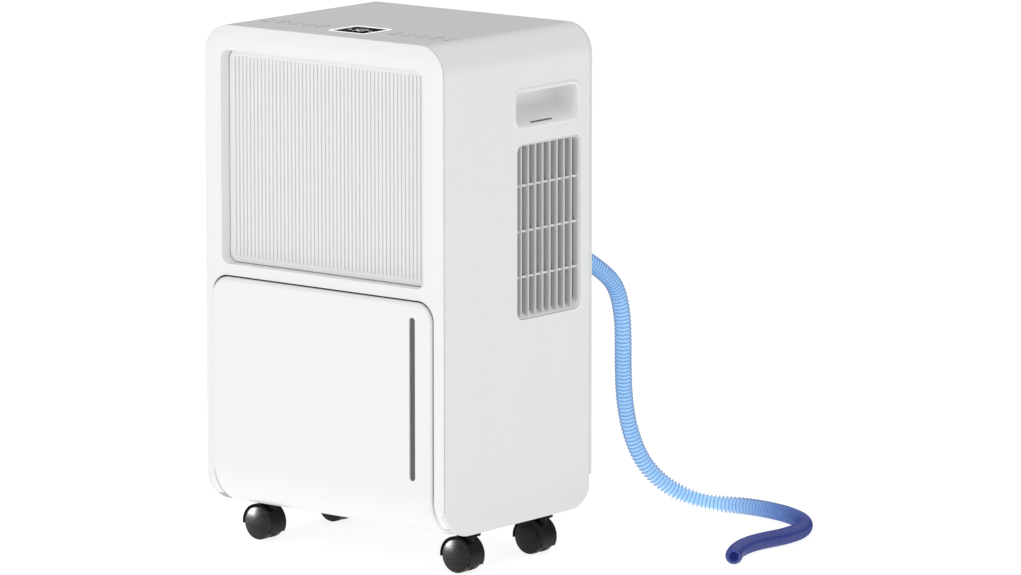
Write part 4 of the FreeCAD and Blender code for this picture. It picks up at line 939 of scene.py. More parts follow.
class RibbedTubeTree:
    """Geometry nodes that turn a line into a ribbed hose, and keep each point's place along it."""

    SAMPLES = 10
    RING_STEPS = 18
    CREST_START = 0.68
    MOUTH_REACH = 0.03

    def __init__(self, name: str, material: bpy.types.Material) -> None:
        """Builds the tree.

        Args:
            name: The tree's name.
            material: The finish of the hose.
        """
        self.tree = bpy.data.node_groups.new(name, "GeometryNodeTree")
        sheet = NodeSheet(self.tree)
        face = self.tree.interface
        face.new_socket("Geometry", in_out="OUTPUT", socket_type="NodeSocketGeometry")
        self.sockets = {
            label: face.new_socket(label, in_out="INPUT", socket_type=kind).identifier
            for label, kind in (("Line", "NodeSocketGeometry"), ("Pitch", "NodeSocketFloat"),
                                ("Core radius", "NodeSocketFloat"), ("Rib height", "NodeSocketFloat"),
                                ("Bore radius", "NodeSocketFloat"), ("Plain ends", "NodeSocketFloat"))
        }
        given = self.tree.nodes.new("NodeGroupInput")
        line, pitch, core, rib, bore, plain = (Wire(sheet, given.outputs[label]) for label in self.sockets)
        curve = sheet.add("GeometryNodeMeshToCurve", inputs={0: line})
        fine = sheet.add("GeometryNodeResampleCurve", {"mode": "LENGTH"},
                         {"Curve": curve, "Length": pitch / float(self.SAMPLES)})
        spot = sheet.add("GeometryNodeSplineParameter", output="Length")
        share = sheet.add("GeometryNodeSplineParameter", output="Factor")
        whole = sheet.add("GeometryNodeSplineLength", output="Length")
        wave = (spot / pitch * math.tau).maths("COSINE")
        inside = (spot > plain) * ((whole - spot) > plain)
        rise = ((wave - self.CREST_START) / (1 - self.CREST_START)).clamped() * inside
        ribbed = sheet.add("GeometryNodeStoreNamedAttribute", {"data_type": "FLOAT", "domain": "POINT"},
                           {"Geometry": fine, "Name": "rise", "Value": rise})
        marked = sheet.add("GeometryNodeStoreNamedAttribute", {"data_type": "FLOAT", "domain": "POINT"},
                           {"Geometry": ribbed, "Name": "along", "Value": share})
        ring = sheet.add("GeometryNodeCurvePrimitiveCircle", {"mode": "RADIUS"},
                         {"Resolution": self.RING_STEPS, "Radius": 1.0})
        outer = self.tube(sheet, marked, ring, core + rise * rib)
        inner = self.tube(sheet, marked, ring, bore)
        turned = sheet.add("GeometryNodeFlipFaces", inputs={0: inner})
        join = self.tree.nodes.new("GeometryNodeJoinGeometry")
        for part in (outer, turned):
            self.tree.links.new(part.socket, join.inputs[0])
        smooth = sheet.add("GeometryNodeSetShadeSmooth", inputs={0: Wire(sheet, join.outputs[0])})
        real = sheet.add("GeometryNodeRealizeInstances", inputs={0: smooth})
        done = sheet.add("GeometryNodeSetMaterial", inputs={0: real, "Material": material})
        result = self.tree.nodes.new("NodeGroupOutput")
        self.tree.links.new(done.socket, result.inputs[0])

    @staticmethod
    def tube(sheet: NodeSheet, curve: Wire, ring: Wire, radius: Wire) -> Wire:
        """Sweeps a ring along a curve.

        Args:
            sheet: The tree.
            curve: The line that the tube follows.
            ring: A ring of radius 1.
            radius: The tube's radius, which may change along the line.

        Returns:
            The tube.
        """
        sized = sheet.add("GeometryNodeSetCurveRadius", inputs={0: curve, "Radius": radius})
        return sheet.add("GeometryNodeCurveToMesh",
                         inputs={"Curve": sized, "Profile Curve": ring, "Scale": radius})

    def grow(self, name: str, line: bpy.types.Mesh, sizes: dict[str, float]) -> bpy.types.Object:
        """Makes the hose as a plain mesh with closed rims.

        Args:
            name: The piece's name.
            line: The line that it follows, as a mesh of edges.
            sizes: The tree's inputs by name.

        Returns:
            The hose.
        """
        piece = link(name, line)
        modifier = piece.modifiers.new("hose", "NODES")
        modifier.node_group = self.tree
        for label, value in sizes.items():
            modifier[self.sockets[label]] = value
        hose = settle(piece)
        sculpt = bmesh.new()
        sculpt.from_mesh(hose.data)
        rims = [edge for edge in sculpt.edges if len(edge.link_faces) == 1]
        start = hose.data.vertices[0].co
        near = [edge for edge in rims if (edge.verts[0].co - start).length < self.MOUTH_REACH]
        far = [edge for edge in rims if edge not in set(near)]
        for pair in (near, far):
            bmesh.ops.bridge_loops(sculpt, edges=pair)
        bmesh.ops.recalc_face_normals(sculpt, faces=sculpt.faces)
        for face in sculpt.faces:
            face.smooth = True
        sculpt.to_mesh(hose.data)
        sculpt.free()
        return hose


# ---------------------------------------------------------------- sub-assemblies

@dataclass
class DrainHose:
    """The ribbed drain hose, which hangs from its cuff at the back and lies on the floor."""

    diameter: float = 0.017
    length: float = 0.684
    pitch: float = 0.00407
    core_radius: float = 0.0061
    bore_radius: float = 0.0048
    plain_end: float = 0.0035
    cuff_play: float = 0.0001
    cuff_steps: int = 40
    cuff_mouth: float = 0.93
    cuff_groove: float = 0.96
    cuff_taper: float = 0.9
    cuff_tip: float = 0.86
    cuff_chamfer: float = 0.0012
    grip_rings: int = 3
    grip_pitch: float = 0.22
    grip_shape: tuple[float, float, float] = (0.0006, 0.0016, 0.0022)
    route: tuple[tuple[float, float, float], ...] = (
        (0.110, 0.1167, 0.277), (0.110, 0.132, 0.277), (0.110, 0.170, 0.2565), (0.109, 0.197, 0.237),
        (0.107, 0.2095, 0.207), (0.103, 0.216, 0.180), (0.096, 0.225, 0.150), (0.090, 0.235, 0.116),
        (0.088, 0.247, 0.082), (0.092, 0.262, 0.051), (0.104, 0.280, 0.028), (0.122, 0.299, 0.014),
        (0.145, 0.314, 0.0086), (0.171, 0.322, 0.0086), (0.200, 0.322, 0.0086), (0.232, 0.314, 0.0086),
        (0.264, 0.295, 0.0086), (0.284, 0.265, 0.0086), (0.288, 0.229, 0.0086), (0.282, 0.197, 0.0086),
        (0.284, 0.168, 0.0086), (0.296, 0.137, 0.0086), (0.305, 0.125, 0.0086),
    )

    def centre_line(self) -> bpy.types.Mesh:
        """Gives the smooth line through the route.

        Returns:
            A mesh of edges.
        """
        curve = bpy.data.curves.new("hose_line", "CURVE")
        curve.dimensions = "3D"
        curve.resolution_u = 16
        spline = curve.splines.new("NURBS")
        spline.points.add(len(self.route) - 1)
        for point, spot in zip(spline.points, self.route):
            point.co = (*spot, 1.0)
        spline.order_u = 3
        spline.use_endpoint_u = True
        holder = link("hose_line", curve)
        bpy.context.view_layer.update()
        mesh = bpy.data.meshes.new_from_object(holder)
        bpy.data.objects.remove(holder)
        return mesh

    def cuff(self) -> bpy.types.Object:
        """Makes the tapered cuff that grips the spigot, with its grip rings.

        Returns:
            The cuff.
        """
        low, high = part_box("hose_cuff")
        centre = Vector(((low.x + high.x) / 2, low.y, (low.z + high.z) / 2))
        outer = (high.x - low.x) / 2
        bore = self.diameter / 2 + self.cuff_play
        depth = high.y - low.y
        groove = outer * self.cuff_groove
        rise, crest, fall = self.grip_shape
        profile = [(bore, 0.0), (outer * self.cuff_mouth, 0.0), (outer, self.cuff_chamfer)]
        for ring in range(self.grip_rings):
            start = depth * (self.grip_pitch + self.grip_pitch * ring)
            profile += [(groove, start), (outer, start + rise), (outer, start + crest),
                        (groove, start + fall)]
        profile += [(outer * self.cuff_taper, depth - self.cuff_chamfer), (outer * self.cuff_tip, depth),
                    (bore, depth)]
        sculpt = bmesh.new()
        lathe(sculpt, profile, centre, self.cuff_steps, closed=True)
        return SHELF.dress(to_piece("hose_cuff_grips", sculpt), Finish.CUFF_GREY)

    def build(self) -> None:
        """Makes the hose and its cuff."""
        line = self.centre_line()
        tree = RibbedTubeTree("ribbed_hose", SHELF.take(Finish.HOSE_BLUE))
        hose = tree.grow("ribbed_hose", line, {
            "Pitch": self.pitch, "Core radius": self.core_radius,
            "Rib height": self.diameter / 2 - self.core_radius, "Bore radius": self.bore_radius,
            "Plain ends": self.plain_end,
        })
        cuff = self.cuff()
        for piece, node, slot in ((hose, "drain_hose", "hose_blue"), (cuff, "hose_cuff", "cuff_grey")):
            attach(piece, "root")
            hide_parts(node)
            log.info("%s: %d faces", piece.name, len(piece.data.polygons))


def place_piece(piece: bpy.types.Object, body: str, slot: str, *nodes: str) -> bpy.types.Object:
    """Rides a piece on a body and hides the CAD nodes that it stands for.

    Args:
        piece: The finished object.
        body: The CAD body.
        slot: The material slot; not used.
        nodes: The CAD nodes that it replaces.

    Returns:
        The piece.
    """
    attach(piece, body)
    if nodes:
        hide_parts(*nodes)
    log.info("%s on %s: %d faces", piece.name, body, len(piece.data.polygons))
    return piece


@dataclass
class Cabinet:
    """The white wrap, the bezel round the front, the back and the floor."""

    edge: float = 0.0005
    bezel_edge: float = 0.0012
    small_edge: float = 0.0003

    def build(self) -> None:
        """Makes the cabinet's pieces."""
        for node, name, width, segments, finish in (
            ("cabinet_shell", "cabinet_wrap", self.edge, 2, Finish.WHITE_GLOSS),
            ("front_frame", "front_bezel", self.bezel_edge, 3, Finish.WHITE_GLOSS),
            ("rear_panel", "back_panel", self.edge, 2, Finish.REAR_WHITE),
            ("base_pan", "floor_pan", self.edge, 2, Finish.GALVANISED),
            ("panel_screws", "panel_screws_detail", self.small_edge, 2, Finish.STEEL),
            ("cord_gland", "cord_gland_detail", self.small_edge, 2, Finish.RUBBER),
            ("drain_spigot", "drain_spigot_detail", self.small_edge, 2, Finish.GREY_PLASTIC),
        ):
            piece = SHELF.dress(soft_copy(node, name, width, segments), finish)
            place_piece(piece, "root", finish.value.name, node)


@dataclass
class InletGrille:
    """The ribbed panel in the window: a plain border with rounded upright ribs inside it."""

    corner: float = 0.0088
    border: float = 0.0063
    rib_pitch: float = 0.0046
    rib_width: float = 0.0034
    rib_depth: float = 0.0012
    rib_recess: float = 0.0004
    rib_edge: float = 0.0006
    margin: float = 0.007
    soft: float = 0.0008
    frame_depth: float = 0.004
    cloth_recess: float = 0.0003
    cloth_thick: float = 0.001
    tie_count: int = 3
    tie_start: float = 0.0385
    tie_inset: float = 0.064
    tie_depth: float = 0.0015
    tie_height: float = 0.003

    def border_frame(self, low: Vector, high: Vector, front: float, back: float) -> bpy.types.Object:
        """Makes the plain border as a closed ring.

        Args:
            low: The panel's lowest corner.
            high: The panel's highest corner.
            front: The Y of its face.
            back: The Y of its back.

        Returns:
            The border.
        """
        sculpt = bmesh.new()
        rings = []
        soft = self.soft
        inner = self.border
        stations = ((0.0, back), (0.0, front + soft), (soft, front), (inner - soft, front),
                    (inner, front + soft), (inner, back))
        for inset, depth in stations:
            loop = rounded_loop(low.x + inset, high.x - inset, low.z + inset, high.z - inset,
                                self.corner - inset * 0.7)
            rings.append([Vector((x, depth, z)) for x, z in loop])
        loft(sculpt, rings, closed=True)
        return to_piece("grille_border", sculpt)

    def build(self) -> None:
        """Makes the border, the ribs and the mesh behind them."""
        low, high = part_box("inlet_grille")
        front = low.y
        back = front + self.frame_depth
        border = SHELF.dress(self.border_frame(low, high, front, back), Finish.GRILLE_WHITE)
        place_piece(border, "grille", "white_gloss", "inlet_grille")

        tree = RowTree("grille_rows", SHELF.take(Finish.GRILLE_WHITE))
        run = (high.x - low.x) - 2 * self.margin
        count = int(run / self.rib_pitch) + 2
        start = (low.x + high.x) / 2 - self.rib_pitch * (count - 1) / 2
        tall = high.z - low.z - 2 * self.border + 0.001
        middle = (low.z + high.z) / 2
        ribs = tree.grow("grille_ribs", (self.rib_width, self.rib_depth, tall),
                         (start, front + self.rib_recess + self.rib_depth / 2, middle),
                         (self.rib_pitch, 0, 0), count, self.rib_edge)
        place_piece(ribs, "grille", "white_gloss")
        cloth = bmesh.new()
        inset = self.border - 0.0004
        cloth_front = front + self.cloth_recess + self.rib_depth
        block(cloth, (low.x + inset, cloth_front, low.z + inset),
              (high.x - inset, cloth_front + self.cloth_thick, high.z - inset))
        mesh = SHELF.dress(round_edges(to_piece("grille_cloth", cloth), 0.0002), Finish.FILTER_MESH)
        place_piece(mesh, "grille", "white_gloss")
        ties = tree.grow("grille_ties", (high.x - low.x - 2 * self.border, self.tie_depth, self.tie_height),
                         ((low.x + high.x) / 2, back + self.soft, low.z + self.tie_start),
                         (0, 0, (tall - self.tie_inset) / 2), self.tie_count, 0.0004)
        place_piece(ties, "grille", "white_gloss")
        SHELF.dress(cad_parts["air_filter"], Finish.FILTER_MESH)


@dataclass
class WaterTank:
    """The pull-out tank: its rounded face, the level strip and the clear container."""

    edge: float = 0.0005

    def build(self) -> None:
        """Makes the tank's pieces."""
        face = SHELF.dress(soft_copy("tank_front", "tank_face", self.edge), Finish.WHITE_GLOSS)
        place_piece(face, "tank", "white_gloss", "tank_front")
        low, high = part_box("level_window")
        sculpt = bmesh.new()
        rings = []
        half = (high.x - low.x) / 2
        for inset, depth in ((0.0, high.y), (0.0, low.y + 0.0008), (0.0004, low.y + 0.0003), (0.0012, low.y)):
            loop = rounded_loop(low.x + inset, high.x - inset, low.z + inset, high.z - inset, half, 8)
            rings.append([Vector((x, depth, z)) for x, z in loop])
        loft(sculpt, rings)
        strip = SHELF.dress(to_piece("level_strip", sculpt), Finish.WINDOW_DARK)
        place_piece(strip, "tank", "window_dark", "level_window")
        for node in ("tank_body", "tank_lid"):
            piece = SHELF.dress(soft_copy(node, f"{node}_moulding", self.edge), Finish.TANK_CLEAR)
            place_piece(piece, "tank", "tank_clear", node)
        buoy = SHELF.dress(soft_copy("tank_float", "float_moulding", self.edge), Finish.FLOAT_WHITE)
        place_piece(buoy, "float", "float_white", "tank_float")
        SHELF.dress(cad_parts["float_pin"], Finish.STEEL)


@dataclass
class HandHold:
    """A recessed hand hold: a soft rim, a hollow with round corners and a slit of painted shade in its floor.
    """

    side: int
    rim: float = 0.004
    corner: float = 0.008
    depth: float = 0.0282
    slope: float = 0.012
    wall: float = 0.0016
    loop_steps: int = 8
    lip: tuple[tuple[float, float, float], ...] = (
        (0.0011, 0.0002, 0.0035), (0.0004, 0.0005, 0.0032), (0.0, 0.0013, 0.0024),
    )
    mouth: tuple[tuple[float, float, float], ...] = (
        (0.0, 0.0011, 0.0008), (0.0003, 0.0003, 0.0), (0.0012, -0.0003, 0.0),
    )
    curls: tuple[tuple[float, float], ...] = (
        (0.3, 0.0), (0.7, 0.0002), (0.86, 0.001), (0.93, 0.0022), (0.97, 0.0036),
    )
    slit_length: float = 0.032
    slit_width: float = 0.0014
    slit_inset: float = 0.0038
    slit_forward: float = 0.005

    def build(self) -> None:
        """Makes the hold."""
        label = "right" if self.side > 0 else "left"
        node = f"handle_cup_{label}"
        low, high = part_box(node)
        face = max(abs(low.x), abs(high.x))
        y0 = low.y + self.rim
        y1 = high.y - self.rim
        z0 = low.z + self.rim - 0.001
        z1 = high.z - self.rim + 0.001

        def ring(inset: float, extra: float, radius: float, lift: float = 0.0) -> list[Vector]:
            """Gives one ring of the hold, inset from the face and larger than the hollow by extra."""
            loop = rounded_loop(y0 - extra, y1 + extra, z0 - extra + lift, z1 + extra, radius,
                                self.loop_steps)
            return [Vector((self.side * (face - inset), y, z)) for y, z in loop]

        inner = [ring(inset, self.rim - margin, self.corner + growth) for inset, margin, growth in self.lip]
        inner += [ring(inset, extra, self.corner + growth) for inset, extra, growth in self.mouth]
        throat, narrow, _ = self.mouth[-1]
        for share, curl in self.curls:
            inner.append(ring(throat + self.depth * share, narrow - curl, self.corner,
                              self.slope * share - curl * 0.4))
        back = self.depth + 0.0008
        inner.append(ring(back, -0.006, self.corner * 0.8, self.slope - 0.002))
        outer_back = ring(back + self.wall, self.wall, self.corner + self.wall)
        outer_front = ring(self.lip[0][0], self.wall, self.corner + self.wall)
        sculpt = bmesh.new()
        for rings in (inner, [inner[0], outer_front, outer_back]):
            loft(sculpt, rings, caps=False)
            self.close_back(sculpt, rings[-1])
        cup = SHELF.dress(to_piece(f"hand_hold_{label}", sculpt, 40.0), Finish.WHITE_GLOSS)
        place_piece(cup, "root", "white_gloss", node)
        self.slit(label, face, (y0 + y1) / 2 - self.slit_forward, z0)

    @staticmethod
    def close_back(sculpt: bmesh.types.BMesh, ring: Sequence[Vector]) -> None:
        """Fills one ring with a face."""
        sculpt.faces.new([sculpt.verts.new(point) for point in ring])

    def slit(self, label: str, face: float, middle: float, floor: float) -> None:
        """Makes the slit in the sloping floor as a thin dark piece: painted shade where the slot opens.

        Args:
            label: The side's name.
            face: The distance of the hold's face from the middle of the machine.
            middle: The Y of the slit's middle.
            floor: The height of the floor's lip.
        """
        sculpt = bmesh.new()
        half = self.slit_length / 2
        near = face - self.slit_inset
        far = near - self.slit_width
        rise = self.slope / self.depth
        rings = []
        for lift in (-0.0006, 0.00035):
            loop = rounded_loop(middle - half, middle + half, far, near, 0.0006, 3)
            rings.append([Vector((self.side * x, y, floor + (face - x) * rise + lift)) for y, x in loop])
        loft(sculpt, rings)
        # The dark finish is painted shade where the slot opens.
        slit = SHELF.dress(to_piece(f"hold_shade_slit_{label}", sculpt), Finish.WINDOW_DARK)
        place_piece(slit, "root", "window_dark")


@dataclass
class AirOutlet:
    """The outlet in the right wall: a round-cornered collar, upright slats and three bars."""

    slat_start: float = 0.0083
    slat_pitch: float = 0.0108
    slat_count: int = 8
    slat_width: float = 0.0022
    wall: float = 0.0014
    sill: float = 0.0045
    corner: float = 0.00775
    flange: float = 0.004
    play: float = 0.00025
    soft: float = 0.0005
    bar_spacing: float = 0.0432
    bar_count: int = 3
    bar_height: float = 0.0020
    bar_setback: float = 0.0046

    def build(self) -> None:
        """Makes the collar, the slats, the bars and a dark plate of painted shade behind the slats."""
        low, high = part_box("side_vent")
        face = high.x
        deep = low.x
        edge = self.flange + self.play
        y0, y1 = low.y + edge, high.y - edge
        z0, z1 = low.z + edge, high.z - edge
        sculpt = bmesh.new()
        rings = []
        soft = self.soft
        for inset, x in ((0.0, deep), (0.0, face - soft), (soft, face), (self.wall - soft, face),
                         (self.wall, face - soft), (self.wall, deep)):
            sill = self.sill if inset and x == deep else 0.0
            loop = rounded_loop(y0 + inset, y1 - inset, z0 + inset + sill, z1 - inset, self.corner - inset, 8)
            rings.append([Vector((x, y, z)) for y, z in loop])
        loft(sculpt, rings, closed=True)
        collar = SHELF.dress(to_piece("outlet_collar", sculpt), Finish.GRILLE_WHITE)
        place_piece(collar, "root", "vent_grey", "side_vent")

        # The slats take a grey darker than the white plastic: painted shade inside the outlet.
        tree = RowTree("outlet_rows", SHELF.take(Finish.SHADED_VENT_WHITE))
        depth = face - deep
        tall = z1 - z0 - self.wall
        slats = tree.grow("outlet_slats", (depth - 0.0006, self.slat_width, tall),
                          (deep + depth / 2 - 0.0003, y0 - self.play + self.slat_start, (z0 + z1) / 2),
                          (0, self.slat_pitch, 0), self.slat_count, 0.0007)
        place_piece(slats, "root", "vent_grey")
        tree = RowTree("outlet_bar_rows", SHELF.take(Finish.WHITE_GLOSS))
        bars = tree.grow("outlet_bars", (depth - self.bar_setback, y1 - y0 - self.wall, self.bar_height),
                         (deep + depth / 2 - 0.0007, (y0 + y1) / 2, (z0 + z1) / 2 - self.bar_spacing),
                         (0, 0, self.bar_spacing), self.bar_count, 0.0004)
        place_piece(bars, "root", "vent_grey")
        # A dark plate stands for the shade inside the machine behind the slats: painted shade.
        shade_sheet = bmesh.new()
        block(shade_sheet, (deep + 0.0002, y0 + self.wall, z0 + self.wall),
              (deep + 0.0010, y1 - self.wall, z1 - self.wall))
        plate = SHELF.dress(round_edges(to_piece("outlet_shade_plate", shade_sheet), 0.0002), Finish.SHADE_PLATE_GREY)
        place_piece(plate, "root", "grey_plastic")


class Mark(Enum):
    """The generic marks printed beside the display."""

    RING = "ring"
    DROP = "drop"
    BARS = "bars"
    MOON = "moon"
    CROSS = "cross"


@dataclass
class ControlPanel:
    """The black glass on the top with its lit numbers, and the printed keys beside it."""

    outline: float = 0.0012
    lip: float = 0.0016
    digit_height: float = 0.0120
    digit_width: float = 0.0046
    stroke: float = 0.0010
    key_size: float = 0.0048
    key_start: float = 0.044
    key_pitch: float = 0.0165
    corner: float = 0.003
    print_thick: float = 0.00004
    dot_place: float = 0.0125
    dot_outer: float = 0.0018
    dot_inner: float = 0.0011
    lit_thick: float = 0.0001
    value: str = "50"

    SEGMENTS = {
        "0": "abcdef", "1": "bc", "2": "abged", "3": "abgcd", "4": "fgbc", "5": "afgcd",
        "6": "afgecd", "7": "abc", "8": "abcdefg", "9": "abcdfg",
    }
    STROKES = {
        "a": ((0, 2), (1, 2)), "b": ((1, 2), (1, 1)), "c": ((1, 1), (1, 0)), "d": ((1, 0), (0, 0)),
        "e": ((0, 0), (0, 1)), "f": ((0, 1), (0, 2)), "g": ((0, 1), (1, 1)),
    }
    RING_STEPS = 16

    def square_rings(
        self, low: Vector, high: Vector, stations: Sequence[tuple[float, float]],
    ) -> list[list[Vector]]:
        """Gives rounded squares, one for each inset and height.

        Args:
            low: The display's lowest corner.
            high: The display's highest corner.
            stations: Pairs of inset and height.

        Returns:
            The rings.
        """
        rings = []
        for inset, height in stations:
            loop = rounded_loop(low.x + inset, high.x - inset, low.y + inset, high.y - inset,
                                self.corner - inset * 0.5)
            rings.append([Vector((x, y, height)) for x, y in loop])
        return rings

    def glass(self, low: Vector, high: Vector) -> None:
        """Makes the glass and its thin outline, which glows as painted light.

        Args:
            low: The display's lowest corner.
            high: The display's highest corner.
        """
        top = high.z
        rim = top + 0.00006
        outline = bmesh.new()
        loft(outline, self.square_rings(low, high, (
            (-self.lip, top - 0.001), (-self.lip, rim), (self.outline, rim), (self.outline, top - 0.001),
        )), closed=True)
        # The outline's finish glows as painted light; it is no lamp.
        edge = SHELF.dress(to_piece("display_outline", outline), Finish.OUTLINE_PAINTED_GLOW)
        place_piece(edge, "root", "white_gloss")
        pane = bmesh.new()
        loft(pane, self.square_rings(low, high, (
            (self.outline, low.z), (self.outline, top - 0.0005), (self.outline + 0.0004, top - 0.0003),
        )))
        glass = SHELF.dress(to_piece("display_glass", pane), Finish.LENS_BLACK)
        place_piece(glass, "root", "lens_black", "control_lens")

    def bar(self, sculpt: bmesh.types.BMesh, start: Vector, end: Vector, width: float, thick: float) -> None:
        """Adds one pointed bar that lies flat.

        Args:
            sculpt: The mesh in progress.
            start: Its first tip.
            end: Its last tip.
            width: Its width.
            thick: Its thickness.
        """
        run = (end - start).normalized()
        side = Vector((-run.y, run.x, 0)) * width / 2
        tip = run * width / 2
        outline = [start, start + tip + side, end - tip + side, end, end - tip - side, start + tip - side]
        loft(sculpt, [outline, [point + Vector((0, 0, thick)) for point in outline]])

    def digits(self, centre: Vector) -> None:
        """Makes the lit number and the small rings beside it.

        Args:
            centre: The middle of the number.
        """
        sculpt = bmesh.new()
        wide = self.digit_width
        tall = self.digit_height / 2
        for index, figure in enumerate(self.value):
            corner = centre + Vector(((index - 1) * wide * 1.45 + wide * 0.22, -tall, 0))
            for name in self.SEGMENTS[figure]:
                (x0, y0), (x1, y1) = self.STROKES[name]
                start = corner + Vector((x0 * wide, y0 * tall, 0))
                end = corner + Vector((x1 * wide, y1 * tall, 0))
                gap = (end - start).normalized() * 0.0003
                self.bar(sculpt, start + gap, end - gap, self.stroke, self.lit_thick)
        for side in (-1, 1):
            spot = centre + Vector((side * self.dot_place, 0.0, 0))
            self.flat_ring(sculpt, spot, self.dot_outer, self.dot_inner, self.lit_thick)
        lit = SHELF.dress(to_piece("display_figures", sculpt), Finish.DIGIT_WHITE)
        place_piece(lit, "root", "white_gloss")

    def flat_ring(
        self, sculpt: bmesh.types.BMesh, centre: Vector, outer: float, inner: float, thick: float,
    ) -> None:
        """Adds a flat ring.

        Args:
            sculpt: The mesh in progress.
            centre: Its middle.
            outer: Its outer radius.
            inner: Its inner radius.
            thick: Its thickness.
        """
        turns = [math.tau * step / self.RING_STEPS for step in range(self.RING_STEPS)]
        rings = []
        for radius, lift in ((outer, 0), (outer, thick), (inner, thick), (inner, 0)):
            rings.append([centre + Vector((radius * math.cos(turn), radius * math.sin(turn), lift))
                          for turn in turns])
        loft(sculpt, rings, closed=True)

    def key(self, sculpt: bmesh.types.BMesh, mark: Mark, spot: Vector, thick: float) -> None:
        """Adds one printed mark.

        Args:
            sculpt: The mesh in progress.
            mark: Which mark.
            spot: Its middle.
            thick: The thickness of the print.
        """
        size = self.key_size
        line = size * 0.2
        right = Vector((1, 0, 0))
        ahead = Vector((0, 1, 0))
        if mark is Mark.RING:
            self.flat_ring(sculpt, spot, size, size * 0.74, thick)
            self.bar(sculpt, spot, spot + ahead * size * 1.3, line, thick)
        elif mark is Mark.DROP:
            self.flat_ring(sculpt, spot - ahead * size * 0.2, size * 0.7, size * 0.45, thick)
            self.bar(sculpt, spot + ahead * size * 0.3, spot + ahead * size * 1.2, line * 1.4, thick)
        elif mark is Mark.BARS:
            for step in (-1, 0, 1):
                start = spot + ahead * size * 0.6 * step - right * size * 0.9
                self.bar(sculpt, start, start + right * size * 1.8, line, thick)
        elif mark is Mark.MOON:
            self.flat_ring(sculpt, spot, size * 0.9, size * 0.5, thick)
        else:
            for way in (right + ahead, right - ahead):
                run = way.normalized() * size
                self.bar(sculpt, spot - run, spot + run, line, thick)

    def build(self) -> None:
        """Makes the panel."""
        low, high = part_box("control_lens")
        self.glass(low, high)
        self.digits(Vector(((low.x + high.x) / 2, (low.y + high.y) / 2, high.z - 0.00035)))
        sculpt = bmesh.new()
        front = (low.y + high.y) / 2
        for side in (-1, 1):
            for index, mark in enumerate(Mark):
                x = (low.x + high.x) / 2 + side * (self.key_start + self.key_pitch * index)
                spot = Vector((x, front + 0.003, high.z - self.print_thick / 2))
                self.key(sculpt, mark, spot, self.print_thick)
                for row, wide in ((0.0095, 0.0055), (0.0125, 0.0035)):
                    start = spot - Vector((wide, row, 0))
                    self.bar(sculpt, start, start + Vector((2 * wide, 0, 0)), 0.0016, self.print_thick)
        keys = SHELF.dress(to_piece("key_prints", sculpt), Finish.KEY_PRINT)
        place_piece(keys, "root", "white_gloss")


@dataclass
class Caster:
    """One twin-wheel caster: a hood on a stem, and two wheels with domed caps."""

    name: str
    steps: int = 56
    dome: float = 0.0022
    half_gap: float = 0.003
    chamfer: float = 0.0010
    pole: float = 1e-5
    dome_shares: tuple[float, ...] = (0.97, 0.92, 0.84, 0.74, 0.62, 0.48, 0.32, 0.16)
    cap: Optional[bpy.types.Object] = None

    def wheels(self) -> None:
        """Makes the pair of wheels, each with a domed cap outside."""
        low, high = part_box(f"caster_{self.name}_wheels")
        centre = Vector(((low.x + high.x) / 2, (low.y + high.y) / 2, (low.z + high.z) / 2))
        radius = (high.x - low.x) / 2
        half = (high.y - low.y) / 2
        sculpt = bmesh.new()
        caps = bmesh.new()
        for side in (-1, 1):
            inner = self.half_gap
            rim = half - self.dome
            flat = radius - self.chamfer
            tread = [(0.0, inner), (flat, inner), (radius, inner + 0.0008), (radius, rim - self.chamfer),
                     (radius - 0.0003, rim - 0.0003), (flat, rim), (0.0, rim)]
            cap = [(0.0, rim - 0.0004), (radius - 0.0013, rim - 0.0004), (flat, rim + 0.0001)]
            for share in self.dome_shares:
                cap.append((flat * share, rim + self.dome * (1 - share ** 2)))
            cap.append((0.0, half))
            for build, profile in ((sculpt, tread), (caps, cap)):
                lathe(build, [(max(r, self.pole), side * y) for r, y in profile], centre, self.steps)
        tyre = SHELF.dress(to_piece(f"treads_{self.name}", sculpt), Finish.TREAD_BLACK)
        place_piece(tyre, f"wheels_{self.name}", "caster_black", f"caster_{self.name}_wheels")
        self.cap = SHELF.dress(to_piece(f"wheel_caps_{self.name}", caps), Finish.CAP_BLACK)
        place_piece(self.cap, f"wheels_{self.name}", "caster_black")

    def hood(self) -> None:
        """Makes the hood over the wheels, with its web, neck plate and stem."""
        hood = soft_copy(f"caster_{self.name}_hood", f"hood_{self.name}", 0.0005, 3)
        SHELF.dress(hood, Finish.CASTER_BLACK)
        place_piece(hood, f"caster_{self.name}", "caster_black", f"caster_{self.name}_hood")
        SHELF.dress(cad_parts[f"caster_{self.name}_axle"], Finish.STEEL)

    def build(self) -> None:
        """Makes the caster."""
        self.wheels()
        self.hood()


@dataclass
class Workings:
    """The CAD nodes inside the cabinet, which keep their shape and take a finish."""

    finishes: tuple[tuple[Finish, tuple[str, ...]], ...] = (
        (Finish.GALVANISED, ("bay_divider", "mid_deck", "motor_bracket")),
        (Finish.POT_BLACK, ("compressor", "accumulator", "fan_motor")),
        (Finish.RUBBER, ("compressor_feet",)),
        (Finish.ALUMINIUM, ("evaporator_fins", "condenser_fins")),
        (Finish.COPPER, ("evaporator_bends", "condenser_bends", "discharge_pipe", "suction_pipe")),
        (Finish.STEEL, ("fan_shaft", "compressor_bolts")),
        (Finish.GREY_PLASTIC, ("fan_scroll", "drip_tray", "electrical_box", "capacitor", "level_switch",
                               "drain_pipe", "display_module")),
        (Finish.FAN_WHITE, ("fan_impeller",)),
        (Finish.BOARD_GREEN, ("control_board",)),
    )

    def build(self) -> None:
        """Dresses every inner node."""
        for finish, nodes in self.finishes:
            for node in nodes:
                SHELF.dress(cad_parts[node], finish)
                log.info("%s takes %s", node, finish.value.name)


@dataclass(frozen=True)
class Lamp:
    """A soft square lamp: where it hangs, the length of its side and its power in watts."""

    name: str
    place: tuple[float, float, float]
    size: float
    power: float


